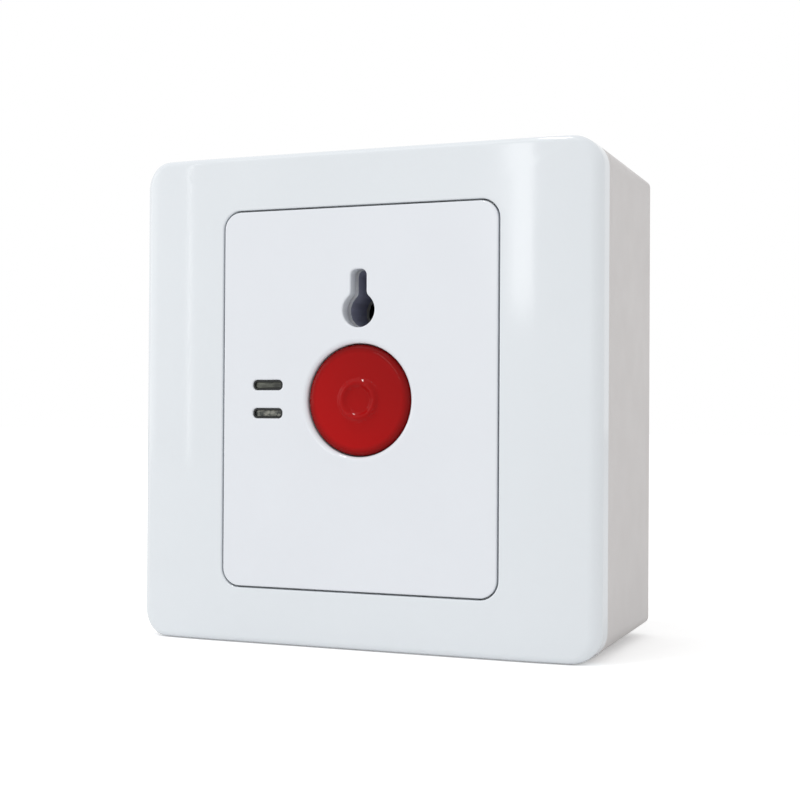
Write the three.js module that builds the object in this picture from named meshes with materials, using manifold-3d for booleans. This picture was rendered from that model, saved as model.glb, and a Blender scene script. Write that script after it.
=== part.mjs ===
// One-button alarm station: a square wall plate on a surface box, with a round button
// that latches when pressed and is let out again with a key.
// Millimetres. Every piece is drawn as it lies on a bench on its back: x to the right,
// y up the wall, z out of the wall. The last group stands the whole station upright,
// so that its back is in the plane y = 0, it faces -Y and its top is +Z.

import * as THREE from 'three';
import { mergeVertices } from 'three/addons/utils/BufferGeometryUtils.js';
import Module from 'manifold-3d';

const wasm = await Module();
wasm.setup();

// Clearances between pieces
const SEAT_GAP = 0.3;
const SLIDE_GAP = 0.1;
const CONTACT_GAP = 0.1;
const FIT_GAP = 0.5;
const PILOT_GAP = 0.1;
const SCREW_HOLE_GAP = 0.3;

// Front frame: its outline, crown and rounded edges, and the ribs behind its face
const PLATE_SIZE = 86;
const PLATE_CORNER = 5;
const PLATE_WALL = 2;
const FRONT_Z = 41.8;
const RIM_DEPTH = 5.9;
const CROWN_WIDTH = 15;
const CROWN_DROP = 1.2;
const CROWN_STATIONS = 5;
const SIDE_ROUND = 2;
const END_ROUND = 1.1;
const FRAME_RIB_THICKNESS = 1.2;
const FRAME_RIB_DROP = 0.5;
const FRAME_RIB_X = 12;
const FRAME_RIB_Y = 24;

// Panel in the middle of the frame, the seam round it and the ledge behind it
const PANEL_BORDER_X = 17.3;
const PANEL_BORDER_Y = 10;
const PANEL_CORNER = 3.1;
const PANEL_THICKNESS = 2.3;
const SEAM = 0.3;
const LEDGE_WIDTH = 1.2;
const LEDGE_THICKNESS = 1.3;
const COLLAR_WALL = 1.3;

// What shows in the panel: button, key slot and two signal windows
const BUTTON_X = 0.4;
const BUTTON_Y = -0.2;
const BUTTON_R = 9.6;
const BUTTON_HOLE_GAP = 0.25;
const BUTTON_HOLE_ROUND = 0.4;
const BUTTON_RECESS = 0.3;
const BUTTON_STROKE = 3;
const BUTTON_RIM_WIDTH = 1.25;
const BUTTON_RIM_DROP = 0.9;
const RING_R = 3;
const RING_WIDTH = 2;
const RING_HEIGHT = 0.6;
const KEY_Y = 15.3;
const KEY_BULB_R = 3;
const KEY_SLOT_WIDTH = 3;
const KEY_SLOT_TOP = 22.3;
const KEY_FILLET = 1.2;
const KEY_TOP_ROUND = 1.1;
const WINDOW_X = -17;
const WINDOW_Y = -0.05;
const WINDOW_PITCH = 4.95;
const WINDOW_WIDTH = 5.8;
const WINDOW_HEIGHT = 1.8;
const WINDOW_CORNER = 0.8;

// Surface box: tapered walls, wall slots, cable hole, knock-outs and screw posts
const BOX_REVEAL = 0.2;
const BOX_TAPER = 1.75;
const BOX_WALL = 2;
const BOX_CORNER = 3;
const BOX_EDGE_ROUND = 0.8;
const WALL_SLOT_WIDTH = 4.5;
const WALL_SLOT_LENGTH = 9;
const WALL_SLOT_X = 18;
const WALL_SLOT_Y = 30;
const CABLE_HOLE_R = 10;
const CABLE_HOLE_Y = -15;
const KNOCKOUT_WIDTH = 16;
const KNOCKOUT_LOW_Z = 14;
const KNOCKOUT_HIGH_Z = 26;
const KNOCKOUT_WEB = 0.7;
const SCREW_SPACING = 60.3;
const POST_R = 4;
const POST_BORE_DEPTH = 22;
const POST_RIB_THICKNESS = 1.6;
const POST_RIB_DROP = 2;
const POST_RIB_INSET = 0.3;

// Mounting bracket on the box posts, and the spring hooks of frame and panel
const BRACKET_THICKNESS = 2;
const BRACKET_CLEARANCE = 1;
const BRACKET_CORNER = 4;
const BRACKET_DROP = 7.2;
const BRACKET_BOSS_R = 2.4;
const BRACKET_HOOK_RIM = 1.75;
const EAR_SLOT_LENGTH = 7;
const EAR_SLOT_GAP = 0.35;
const HOOK_THICKNESS = 1.4;
const HOOK_NOSE = 0.3;
const HOOK_BEND_ROOM = 1.3;
const FRAME_HOOK_X = 18;
const FRAME_HOOK_WIDTH = 6;
const FRAME_HOOK_HEIGHT = 1.2;
const FRAME_HOOK_REACH = 0.7;
const PANEL_HOOK_X = 10;
const PANEL_HOOK_WIDTH = 5;
const PANEL_HOOK_HEIGHT = 0.9;
const PANEL_HOOK_REACH = 0.9;

// Mechanism case
const CASE_MARGIN_X = 0.9;
const CASE_MARGIN_Y = 5;
const CASE_CORNER = 3;
const CASE_WALL = 2;
const CASE_TOP_GAP = 1.35;
const CASE_DEPTH = 18.15;
const BOSS_R = 2.5;
const BOSS_BORE_DEPTH = 10;
const EAR_WIDTH = 8;
const EAR_REACH = 5;
const EAR_THICKNESS = 1.5;
const EAR_Y = 18;
const KEY_TUBE_WALL = 1.2;
const HOLD_RIB_THICKNESS = 1.5;
const HOLD_RIB_INSET = 2.5;

// Signal board in the case's front, its lights and resistors, and its two leads
const BOARD_WIDTH = 11.4;
const BOARD_TOP_Y = 9;
const BOARD_MARGIN_Y = 1.4;
const BOARD_THICKNESS = 0.8;
const BOARD_POCKET_DEPTH = 1.2;
const BOARD_GAP = 0.2;
const LIGHT_X = -1.2;
const LIGHT_WIDTH = 2.8;
const LIGHT_LENGTH = 2;
const LIGHT_HEIGHT = 0.9;
const LIGHT_DISH_R = 0.85;
const LIGHT_DISH_DEPTH = 0.4;
const RESISTOR_X = 2;
const RESISTOR_LENGTH = 2;
const RESISTOR_WIDTH = 1.25;
const RESISTOR_HEIGHT = 0.5;
const RESISTOR_END = 0.5;
const RESISTOR_END_RISE = 0.04;
const LEAD_R = 0.5;
const LEAD_SPREAD = 2.5;
const LEAD_PITCH = 1.5;
const LEAD_BEND = 2.2;
const LEAD_STEPS = 24;

// Button mechanism: cap, plunger, return spring and guide plate
const CAP_WALL = 1.5;
const CAP_SKIRT_WALL = 1.6;
const CAP_SOCKET_WALL = 1.4;
const CAP_SOCKET_WEB = 0.4;
const CAP_BOSS_STEP = 0.2;
const FLANGE_R = 10.8;
const FLANGE_THICKNESS = 1.25;
const PLUNGER_R = 3;
const HEAD_R = 4.2;
const HEAD_HEIGHT = 5;
const HEAD_CHAMFER = 1;
const SPIGOT_R = 1.8;
const SPIGOT_TIP = 0.4;
const SPRING_R = 6.4;
const SPRING_WIRE_R = 0.4;
const SPRING_TURNS = 5;
const GUIDE_THICKNESS = 1.5;
const GUIDE_EDGE_GAP = 0.4;
const GUIDE_BOTTOM_Y = -10.5;

// Latch: a sliding plate on two pegs, its spring, and the arm that the key's bit pushes
const LATCH_THICKNESS = 1.2;
const LATCH_TRAVEL = 1.2;
const LATCH_REST_GAP = 0.4;
const LATCH_HALF_HEIGHT = 6.4;
const LATCH_WINDOW_HALF = 5.1;
const LATCH_END_GAP = 0.8;
const LATCH_TAIL_LENGTH = 8.2;
const LATCH_TAIL_HALF = 3.4;
const LATCH_ARM_RISE = 5.2;
const LATCH_NIB_LENGTH = 2;
const LATCH_NIB_HALF = 0.8;
const LATCH_SPRING_ROOM = 7.2;
const LATCH_SPRING_R = 1.4;
const LATCH_WIRE_R = 0.3;
const LATCH_SPRING_TURNS = 5;
const LATCH_SPRING_GAP = 0.2;
const KEY_BIT_GAP = 0.2;
const PEG_R = 1.2;
const PEG_SHOULDER_R = 2.2;
const PEG_INSET = 4;
const PEG_RISE = 1.5;
const POST_INSET = 2;
const PLAIN_POST_R = 2;

// Contact base, contacts and terminals
const BASE_THICKNESS = 2;
const BASE_RIM_THICKNESS = 1.2;
const BASE_RIM_HEIGHT = 1.5;
const BASE_RIM_SETBACK = 6;
const SLEEVE_R = 3.4;
const SLEEVE_HEIGHT = 0.8;
const STRIP_THICKNESS = 0.8;
const STRIP_WIDTH = 3.6;
const STRIP_SLOT_GAP = 0.2;
const STRIP_END = 0.9;
const CONTACT_R = 1.3;
const CONTACT_HEIGHT = 0.4;
const BRIDGE_THICKNESS = 0.8;
const BRIDGE_WIDTH = 4;
const BRIDGE_END = 1.7;
const BRIDGE_CORNER = 1;
const BRIDGE_EYE_WALL = 2;
const CLIP_R = 3;
const CLIP_THICKNESS = 0.5;
const TERMINAL_PITCH = 5;
const TERMINAL_COUNT = 6;
const TERMINAL_BLOCK_DEPTH = 9;
const TERMINAL_END_WALL = 0.5;
const TERMINAL_INSET = 1;
const TERMINAL_SCREW_INSET = 4.5;
const STRIP_LEG_INSET = 4.1;
const TERMINAL_TOP_WALL = 4.4;
const CHAMBER_WIDTH = 3.8;
const CHAMBER_HEIGHT = 4.3;
const CHAMBER_FLOOR = 2.5;
const CHAMBER_BACK = 1;

// Screws, by the radius and the length of their shanks
const MOUNT_SCREW_R = 1.95;
const MOUNT_SCREW_LENGTH = 14;
const CASE_SCREW_R = 0.9;
const CASE_SCREW_LENGTH = 4.5;
const BASE_SCREW_R = 0.95;
const BASE_SCREW_LENGTH = 8;
const TERMINAL_SCREW_R = 1.25;
const TERMINAL_SCREW_LENGTH = 4.6;
const SCREW_HEAD_RATIO = 1.8;
const SCREW_RISE_RATIO = 1.15;

// Fineness of round shapes, and how far joined and cut forms reach past a face
const CORNER_STEPS = 6;
const EDGE_STEPS = 5;
const KEY_STEPS = 14;
const CAP_SEGMENTS = 44;
const ROUND_SEGMENTS = 20;
const SMALL_SEGMENTS = 8;
const WIRE_SIDES = 6;
const COIL_STEPS = 12;
const OVERCUT = 1;
const EMBED = 0.5;

const SIDES = [-1, 1];
const CORNERS = SIDES.flatMap((a) => SIDES.map((b) => [a, b]));

// Outlines that follow from the sizes above
const CROWN_START = PLATE_SIZE / 2 - CROWN_WIDTH;
const PANEL_WIDTH = PLATE_SIZE - 2 * PANEL_BORDER_X;
const PANEL_HEIGHT = PLATE_SIZE - 2 * PANEL_BORDER_Y;
const OPENING_WIDTH = PANEL_WIDTH + 2 * SEAM;
const OPENING_HEIGHT = PANEL_HEIGHT + 2 * SEAM;
const LEDGE_INNER_Y = OPENING_HEIGHT / 2 - LEDGE_WIDTH;
const BOARD_X = WINDOW_X - BUTTON_X;
const BOARD_Y = WINDOW_Y - BUTTON_Y;
const CASE_WIDTH = 2 * (BOARD_WIDTH / 2 - BOARD_X + CASE_MARGIN_X);
const CASE_HEIGHT = PANEL_HEIGHT - 2 * CASE_MARGIN_Y;
const CASE_INNER_X = CASE_WIDTH / 2 - CASE_WALL;
const CASE_INNER_Y = CASE_HEIGHT / 2 - CASE_WALL;
const BOSS_X = CASE_INNER_X - BOSS_R + EMBED;
const BOSS_Y = CASE_INNER_Y - BOSS_R + EMBED;
const EAR_HOLE_X = CASE_WIDTH / 2 + (EAR_REACH + FIT_GAP) / 2;

// Heights above the wall, from the plate's face down to the terminals
const RIM_Z = FRONT_Z - RIM_DEPTH;
const IN_FRONT_WALL_Z = FRONT_Z - PLATE_WALL + EMBED;
const PANEL_BACK_Z = FRONT_Z - PANEL_THICKNESS;
const LEDGE_BACK_Z = PANEL_BACK_Z - LEDGE_THICKNESS;
const BRACKET_FRONT_Z = FRONT_Z - BRACKET_DROP;
const BRACKET_BACK_Z = BRACKET_FRONT_Z - BRACKET_THICKNESS;
const CASE_FRONT_Z = PANEL_BACK_Z - CASE_TOP_GAP;
const CASE_CEILING_Z = CASE_FRONT_Z - CASE_WALL;
const IN_CEILING_Z = CASE_CEILING_Z + EMBED;
const CASE_BACK_Z = CASE_FRONT_Z - CASE_DEPTH;
const BASE_BACK_Z = CASE_BACK_Z - BASE_THICKNESS;
const TERMINAL_BACK_Z = BASE_BACK_Z - TERMINAL_BLOCK_DEPTH;
const CHAMBER_Z = TERMINAL_BACK_Z + CHAMBER_FLOOR;
const CHAMBER_TOP_Z = CHAMBER_Z + CHAMBER_HEIGHT;
const BOARD_Z = CASE_FRONT_Z - BOARD_POCKET_DEPTH;
const BOARD_TOP_Z = BOARD_Z + BOARD_THICKNESS;

// Contact stack, counted up from the base plate
const LOW_STRIP_Z = CASE_BACK_Z + STRIP_THICKNESS / 2;
const LOW_STRIP_TOP_Z = CASE_BACK_Z + STRIP_THICKNESS;
const BRIDGE_Z = LOW_STRIP_TOP_Z + 2 * CONTACT_HEIGHT + CONTACT_GAP + BUTTON_STROKE;
const BRIDGE_TOP_Z = BRIDGE_Z + BRIDGE_THICKNESS;
const HIGH_STRIP_Z = BRIDGE_TOP_Z + 2 * CONTACT_HEIGHT + CONTACT_GAP + STRIP_THICKNESS / 2;
const LATCH_Z = HIGH_STRIP_Z + STRIP_THICKNESS / 2 + 2 * LATCH_REST_GAP;
const LATCH_TOP_Z = LATCH_Z + LATCH_THICKNESS;
const GUIDE_Z = LATCH_TOP_Z + LATCH_REST_GAP;
const GUIDE_TOP_Z = GUIDE_Z + GUIDE_THICKNESS;
const LEAD_CROSS_Z = LATCH_Z + SEAT_GAP;

// Button stack
const CAP_FACE_Z = FRONT_Z - BUTTON_RECESS;
const CAP_CEILING_Z = CAP_FACE_Z - CAP_WALL;
const CAP_SOCKET_Z = CAP_CEILING_Z - CAP_SOCKET_WEB;
const FLANGE_TOP_Z = CASE_CEILING_Z - SEAT_GAP;
const HEAD_Z = BRIDGE_TOP_Z + SEAT_GAP;
const HEAD_TOP_Z = HEAD_Z + HEAD_HEIGHT;

// Where the box's walls stand, and the bracket and the hooks inside them
const BOX_FRONT_SIZE = PLATE_SIZE - 2 * BOX_REVEAL;
const BOX_BACK_SIZE = BOX_FRONT_SIZE - 2 * BOX_TAPER;
const boxHalf = (z) => BOX_BACK_SIZE / 2 + (BOX_TAPER * z) / RIM_Z;
const BRACKET_HALF = boxHalf(BRACKET_BACK_Z) - BOX_WALL - BRACKET_CLEARANCE;
const FRAME_HOOK_Y = BRACKET_HALF - BRACKET_HOOK_RIM - SEAT_GAP;
const PANEL_HOOK_Y = LEDGE_INNER_Y - SEAT_GAP;

// Places in the mechanism's own frame, whose origin is the button's axis
const KEY_OFFSET_Y = KEY_Y - BUTTON_Y;
const LOW_CONTACT_X = 1.5 * TERMINAL_PITCH;
const HIGH_CONTACT_X = 2.5 * TERMINAL_PITCH;
const LATCH_TAIL_X = -(CASE_INNER_X - LATCH_END_GAP);
const LATCH_SHOULDER_X = LATCH_TAIL_X + LATCH_TAIL_LENGTH;
const LATCH_RIGHT_X = CASE_INNER_X - LATCH_SPRING_ROOM;
const LATCH_ARM_X = KEY_SLOT_TOP - KEY_Y - KEY_BIT_GAP - LATCH_TRAVEL;
const LATCH_ARM_Y = KEY_OFFSET_Y + LATCH_ARM_RISE;
const GUIDE_X = CASE_INNER_X - GUIDE_EDGE_GAP;
const GUIDE_SHOULDER_Y = BOSS_Y - BOSS_R - FIT_GAP;
const LATCH_PEGS = [
  new THREE.Vector2(-(CASE_INNER_X - PEG_INSET), 0),
  new THREE.Vector2(LATCH_RIGHT_X - PEG_INSET, KEY_OFFSET_Y + PEG_RISE),
];
const PLAIN_POSTS = [
  new THREE.Vector2(CASE_INNER_X - PEG_INSET, GUIDE_BOTTOM_Y + POST_INSET),
  new THREE.Vector2(-(CASE_INNER_X - PEG_INSET), GUIDE_SHOULDER_Y - 2 * POST_INSET),
];
const TERMINAL_BOTTOM_Y = -(CASE_HEIGHT / 2 - TERMINAL_INSET);
const TERMINAL_SCREW_Y = TERMINAL_BOTTOM_Y + TERMINAL_SCREW_INSET;
const STRIP_LEG_Y = TERMINAL_SCREW_Y + STRIP_LEG_INSET;
const TERMINAL_TOP_Y = STRIP_LEG_Y + TERMINAL_TOP_WALL;
const TERMINAL_XS = Array.from({ length: TERMINAL_COUNT },
  (_, i) => (i - (TERMINAL_COUNT - 1) / 2) * TERMINAL_PITCH);
const LEADS = [
  { name: 'signal_lead_red', x: BOARD_X + LEAD_SPREAD,
    y: GUIDE_BOTTOM_Y - BOARD_MARGIN_Y, terminalX: -TERMINAL_PITCH / 2 },
  { name: 'signal_lead_black', x: BOARD_X - LEAD_SPREAD,
    y: GUIDE_BOTTOM_Y - BOARD_MARGIN_Y - LEAD_PITCH, terminalX: TERMINAL_PITCH / 2 },
];
const BOARD_BOTTOM_Y = LEADS[1].y - BOARD_MARGIN_Y;

// Finishes
const finish = (color, roughness, metalness = 0) =>
  new THREE.MeshStandardMaterial({ color, roughness, metalness });
const GLOSS_WHITE = finish(0xe3e6eb, 0.18);
const BOX_WHITE = finish(0xdedddb, 0.5);
const RED_PLASTIC = finish(0xa01a1c, 0.25);
const NATURAL_PLASTIC = finish(0xd8d8d0, 0.5);
const BLACK_PLASTIC = finish(0x1c1c1e, 0.45);
const STEEL = finish(0xb9bcc0, 0.3, 1);
const BRASS = finish(0xc8a24a, 0.3, 1);
const BOARD_GREEN = finish(0x1f5a36, 0.5);
const LENS = finish(0xdfe6c8, 0.2);
const CERAMIC = finish(0x2a2a30, 0.5);
const RED_SLEEVE = finish(0xb02020, 0.5);
const BLACK_SLEEVE = finish(0x202022, 0.5);

// A geometry as a closed manifold solid, with its faces turned outwards
function toSolid(source) {
  const bare = source.clone();
  for (const name of Object.keys(bare.attributes)) {
    if (name !== 'position') bare.deleteAttribute(name);
  }
  const merged = mergeVertices(bare, 1e-5);
  const position = merged.attributes.position;
  const triangles = [];
  for (let i = 0; i < merged.index.count; i += 3) {
    const [a, b, c] = [0, 1, 2].map((k) => merged.index.getX(i + k));
    if (a !== b && b !== c && c !== a) triangles.push([a, b, c]);
  }
  const corner = (i) => new THREE.Vector3().fromBufferAttribute(position, i);
  const volume = triangles.reduce(
    (sum, [a, b, c]) => sum + corner(a).dot(corner(b).cross(corner(c))), 0);
  const outward = volume > 0 ? triangles : triangles.map(([a, b, c]) => [a, c, b]);
  return new wasm.Manifold(new wasm.Mesh({
    numProp: 3,
    vertProperties: new Float32Array(position.array),
    triVerts: new Uint32Array(outward.flat()),
  }));
}

function toGeometry(solid) {
  const mesh = solid.getMesh();
  const geometry = new THREE.BufferGeometry();
  geometry.setAttribute('position', new THREE.BufferAttribute(mesh.vertProperties, 3));
  geometry.setIndex(new THREE.BufferAttribute(mesh.triVerts, 1));
  geometry.computeVertexNormals();
  return geometry;
}

const join = (solids) => solids.reduce((whole, next) => whole.add(next));
const cut = (solid, tools) => tools.reduce((rest, tool) => rest.subtract(tool), solid);

// Points of an arc, from one angle to another in degrees
function arc(x, y, radius, from, to, steps = CORNER_STEPS) {
  return Array.from({ length: steps + 1 }, (_, i) => {
    const angle = THREE.MathUtils.degToRad(from + ((to - from) * i) / steps);
    return new THREE.Vector2(x + radius * Math.cos(angle), y + radius * Math.sin(angle));
  });
}

function roundedRect(width, height, radius, x = 0, y = 0, steps = CORNER_STEPS / 2) {
  const [w, h] = [width / 2 - radius, height / 2 - radius];
  return new THREE.Shape([
    ...arc(x + w, y + h, radius, 0, 90, steps),
    ...arc(x - w, y + h, radius, 90, 180, steps),
    ...arc(x - w, y - h, radius, 180, 270, steps),
    ...arc(x + w, y - h, radius, 270, 360, steps),
  ]);
}

function circle(radius, x = 0, y = 0, segments = ROUND_SEGMENTS) {
  return new THREE.Shape(arc(x, y, radius, 0, 360, segments).slice(0, -1));
}

const polygon = (pairs) => new THREE.Shape(pairs.map(([x, y]) => new THREE.Vector2(x, y)));

const rectangle = (x0, y0, x1, y1) => polygon([[x0, y0], [x1, y0], [x1, y1], [x0, y1]]);

// A shape in the x-y plane, raised from one height to another
function prism(shape, fromZ, toZ) {
  const geometry = new THREE.ExtrudeGeometry(shape, { depth: toZ - fromZ, bevelEnabled: false });
  return toSolid(geometry.translate(0, 0, fromZ));
}

// A side profile in the y-z plane, drawn out from one x to another
function prismAcross(shape, fromX, toX) {
  const geometry = new THREE.ExtrudeGeometry(shape, { depth: toX - fromX, bevelEnabled: false });
  const turn = new THREE.Matrix4().makeBasis(
    new THREE.Vector3(0, 1, 0), new THREE.Vector3(0, 0, 1), new THREE.Vector3(1, 0, 0));
  return toSolid(geometry.applyMatrix4(turn).translate(fromX, 0, 0));
}

// A block between any two opposite corners
const block = (x0, y0, z0, x1, y1, z1) => prism(rectangle(x0, y0, x1, y1), z0, z1);

const cylinder = (radius, fromZ, toZ, x = 0, y = 0, segments = ROUND_SEGMENTS) =>
  prism(circle(radius, x, y, segments), fromZ, toZ);

// A profile of radius and height turned about the z axis
function turned(profile, segments = ROUND_SEGMENTS) {
  const points = profile.map(([r, z]) => new THREE.Vector2(r, z));
  return toSolid(new THREE.LatheGeometry(points, segments).rotateX(Math.PI / 2));
}

// Round wire along a path
function wireAlong(path, radius, steps) {
  const section = circle(radius, 0, 0, WIRE_SIDES);
  return toSolid(new THREE.ExtrudeGeometry(section, { extrudePath: path, steps }));
}

class Helix extends THREE.Curve {
  constructor(radius, length, turns) {
    super();
    Object.assign(this, { radius, length, turns });
  }

  getPoint(t, target = new THREE.Vector3()) {
    const angle = 2 * Math.PI * this.turns * t;
    return target.set(
      this.radius * Math.cos(angle), this.radius * Math.sin(angle), this.length * t);
  }
}

const coil = (radius, length, turns, wireR) =>
  wireAlong(new Helix(radius, length, turns), wireR, turns * COIL_STEPS);

// A ring of a rounded rectangle: its upper half from right to left, then the lower half
// back. Each point keeps its outward direction, and has its mirror image below.
function ringOutline(halfWidth, halfHeight, corner, stations = []) {
  const [x, y] = [halfWidth - corner, halfHeight - corner];
  const bend = arc(0, 0, 1, 0, 90);
  const right = bend.map((n) => ({ x: x + corner * n.x, y: y + corner * n.y, nx: n.x, ny: n.y }));
  const left = right.map((p) => ({ ...p, x: -p.x, nx: -p.nx })).reverse();
  const between = stations.map((s) => ({ x: s, y: halfHeight, nx: 0, ny: 1 }));
  const upper = [...right, ...between, ...left];
  const lower = upper.map((p) => ({ ...p, y: -p.y, ny: -p.ny })).reverse();
  return [...upper, ...lower];
}

// A solid through rings of points, from the back to the front, closed with strips
// between each point and its mirror image
function loft(rings) {
  const count = rings[0].length;
  const indices = [];
  for (let r = 0; r + 1 < rings.length; r++) {
    for (let i = 0; i < count; i++) {
      const [a, b] = [r * count + i, r * count + ((i + 1) % count)];
      indices.push(a, b, b + count, a, b + count, a + count);
    }
  }
  const last = (rings.length - 1) * count;
  for (let i = 0; i + 1 < count / 2; i++) {
    const [j, k] = [count - 1 - i, count - 2 - i];
    indices.push(last + i, last + i + 1, last + k, last + i, last + k, last + j);
    indices.push(i, k, i + 1, i, j, k);
  }
  const geometry = new THREE.BufferGeometry();
  const positions = new Float32Array(rings.flat(2));
  geometry.setAttribute('position', new THREE.BufferAttribute(positions, 3));
  geometry.setIndex(indices);
  return toSolid(geometry);
}

// How far the plate's face falls away towards its left and right edges
function crownDrop(x) {
  const beyond = Math.max(0, Math.abs(x) - CROWN_START);
  return CROWN_DROP * (beyond / CROWN_WIDTH) ** 2;
}

// A rounded block whose face follows the crown
function crownedBlock({ half, corner, backZ, frontZ, sideRound, endRound, stationCount, steps }) {
  const run = half - corner - CROWN_START;
  const stations = Array.from({ length: stationCount },
    (_, i) => CROWN_START + (run * (stationCount - 1 - i)) / stationCount);
  const outline = ringOutline(half, half, corner,
    [...stations, ...stations.map((s) => -s).reverse()]);
  const rings = [outline.map((p) => [p.x, p.y, backZ])];
  for (let i = 0; i <= steps; i++) {
    const angle = (Math.PI / 2) * (i / steps);
    rings.push(outline.map((p) => {
      const x = p.x - sideRound * (1 - Math.cos(angle)) * p.nx;
      const y = p.y - endRound * (1 - Math.cos(angle)) * p.ny;
      const fall = (sideRound * p.nx ** 2 + endRound * p.ny ** 2) * (1 - Math.sin(angle));
      return [x, y, frontZ - crownDrop(x) - fall];
    }));
  }
  return loft(rings);
}

// The key slot: a round hole with a narrower slot above it, blended by two fillets
function keyhole(x, y, clearance = 0) {
  const bulb = KEY_BULB_R + clearance;
  const half = KEY_SLOT_WIDTH / 2 + clearance;
  const fillet = KEY_FILLET - clearance / 2;
  const top = y + KEY_SLOT_TOP - KEY_Y + clearance;
  const rise = Math.sqrt((bulb + fillet) ** 2 - (half + fillet) ** 2);
  const tangent = THREE.MathUtils.radToDeg(Math.atan2(rise, half + fillet));
  const [topX, topY] = [half - KEY_TOP_ROUND, top - KEY_TOP_ROUND];
  return new THREE.Shape([
    ...arc(x - topX, topY, KEY_TOP_ROUND, 90, 180, 3),
    ...arc(x - half - fillet, y + rise, fillet, 0, -tangent, 3),
    ...arc(x, y, bulb, 180 - tangent, 360 + tangent, KEY_STEPS).slice(1, -1),
    ...arc(x + half + fillet, y + rise, fillet, 180 + tangent, 180, 3),
    ...arc(x + topX, topY, KEY_TOP_ROUND, 0, 90, 3),
  ]);
}

// A screw along z: the head stands on the seat, and the shank goes down from it, or up
// from it where the direction is -1
function screw({ radius, length, x, y, seatZ, direction = 1, cross = false }) {
  const [headR, rise] = [radius * SCREW_HEAD_RATIO, radius * SCREW_RISE_RATIO];
  const recessZ = rise * 0.4;
  const slotHalf = headR * 0.16;
  const slotReach = cross ? headR * 0.6 : headR + OVERCUT;
  const body = turned([
    [0, -length], [radius * 0.6, -length], [radius, radius * 0.8 - length], [radius, 0],
    [headR, 0], [headR, rise * 0.55], [headR * 0.8, rise], [0, rise],
  ], SMALL_SEGMENTS);
  const slot = block(-slotReach, -slotHalf, recessZ, slotReach, slotHalf, rise + OVERCUT);
  const slots = cross ? [slot, slot.rotate([0, 0, 90])] : [slot];
  const upright = cut(body, slots);
  const laid = direction < 0 ? upright.rotate([180, 0, 0]) : upright;
  return laid.translate([x, y, seatZ]);
}

// A springy finger that hangs down from a face, with its outer side at outerY, and hooks
// outwards under an edge
function snapHook({ x, side, outerY, topZ, edgeZ, height, reach, width }) {
  const [inner, outer, tip] = [outerY - HOOK_THICKNESS, outerY, outerY + reach];
  const profile = [
    [inner, topZ], [inner, edgeZ - height], [outer, edgeZ - height], [tip, edgeZ - HOOK_NOSE],
    [tip, edgeZ], [outer, edgeZ], [outer, topZ],
  ].map(([y, z]) => [side * y, z]);
  return prismAcross(polygon(profile), x - width / 2, x + width / 2);
}

// Surface box: a tapered tray with screw posts, wall slots, a cable hole and knock-outs
function makeBackBox() {
  const ring = (inset, z, corner) =>
    ringOutline(boxHalf(z) - inset, boxHalf(z) - inset, corner).map((p) => [p.x, p.y, z]);
  const backEdge = arc(0, 0, BOX_EDGE_ROUND, 0, 90, 3).map((p) =>
    ring(BOX_EDGE_ROUND - p.y, BOX_EDGE_ROUND - p.x, BOX_CORNER));
  const outer = loft([...backEdge, ring(0, RIM_Z, BOX_CORNER)]);
  const innerCorner = BOX_CORNER - BOX_WALL / 2;
  const cavity = loft([
    ring(BOX_WALL, BOX_WALL, innerCorner), ring(BOX_WALL, RIM_Z + OVERCUT, innerCorner),
  ]);
  const postX = SCREW_SPACING / 2;
  const posts = SIDES.flatMap((side) => [
    cylinder(POST_R, BOX_WALL - OVERCUT, BRACKET_BACK_Z, side * postX, 0),
    block(side * postX, -POST_RIB_THICKNESS / 2, BOX_WALL - OVERCUT,
      side * (BOX_BACK_SIZE / 2 - POST_RIB_INSET), POST_RIB_THICKNESS / 2,
      BRACKET_BACK_Z - POST_RIB_DROP),
  ]);
  const bores = SIDES.map((side) => cylinder(MOUNT_SCREW_R + PILOT_GAP,
    BRACKET_BACK_Z - POST_BORE_DEPTH, BRACKET_BACK_Z + OVERCUT, side * postX, 0));
  const throughBack = (shape) => prism(shape, -OVERCUT, BOX_WALL + OVERCUT);
  const [slotW, slotL] = [WALL_SLOT_WIDTH, WALL_SLOT_LENGTH];
  const wallSlots = SIDES.flatMap((side) => [
    throughBack(roundedRect(slotW, slotL, slotW / 2, side * WALL_SLOT_X, 0)),
    throughBack(roundedRect(slotL, slotW, slotW / 2, 0, side * WALL_SLOT_Y)),
  ]);
  const cableHole = throughBack(circle(CABLE_HOLE_R, 0, CABLE_HOLE_Y));
  const knockouts = SIDES.map((side) => block(
    -KNOCKOUT_WIDTH / 2, side * (boxHalf(0) - BOX_WALL - OVERCUT), KNOCKOUT_LOW_Z,
    KNOCKOUT_WIDTH / 2, side * (boxHalf(KNOCKOUT_LOW_Z) - KNOCKOUT_WEB), KNOCKOUT_HIGH_Z));
  return cut(join([cut(outer, [cavity]), ...posts]),
    [...bores, ...wallSlots, cableHole, ...knockouts]);
}

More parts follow.
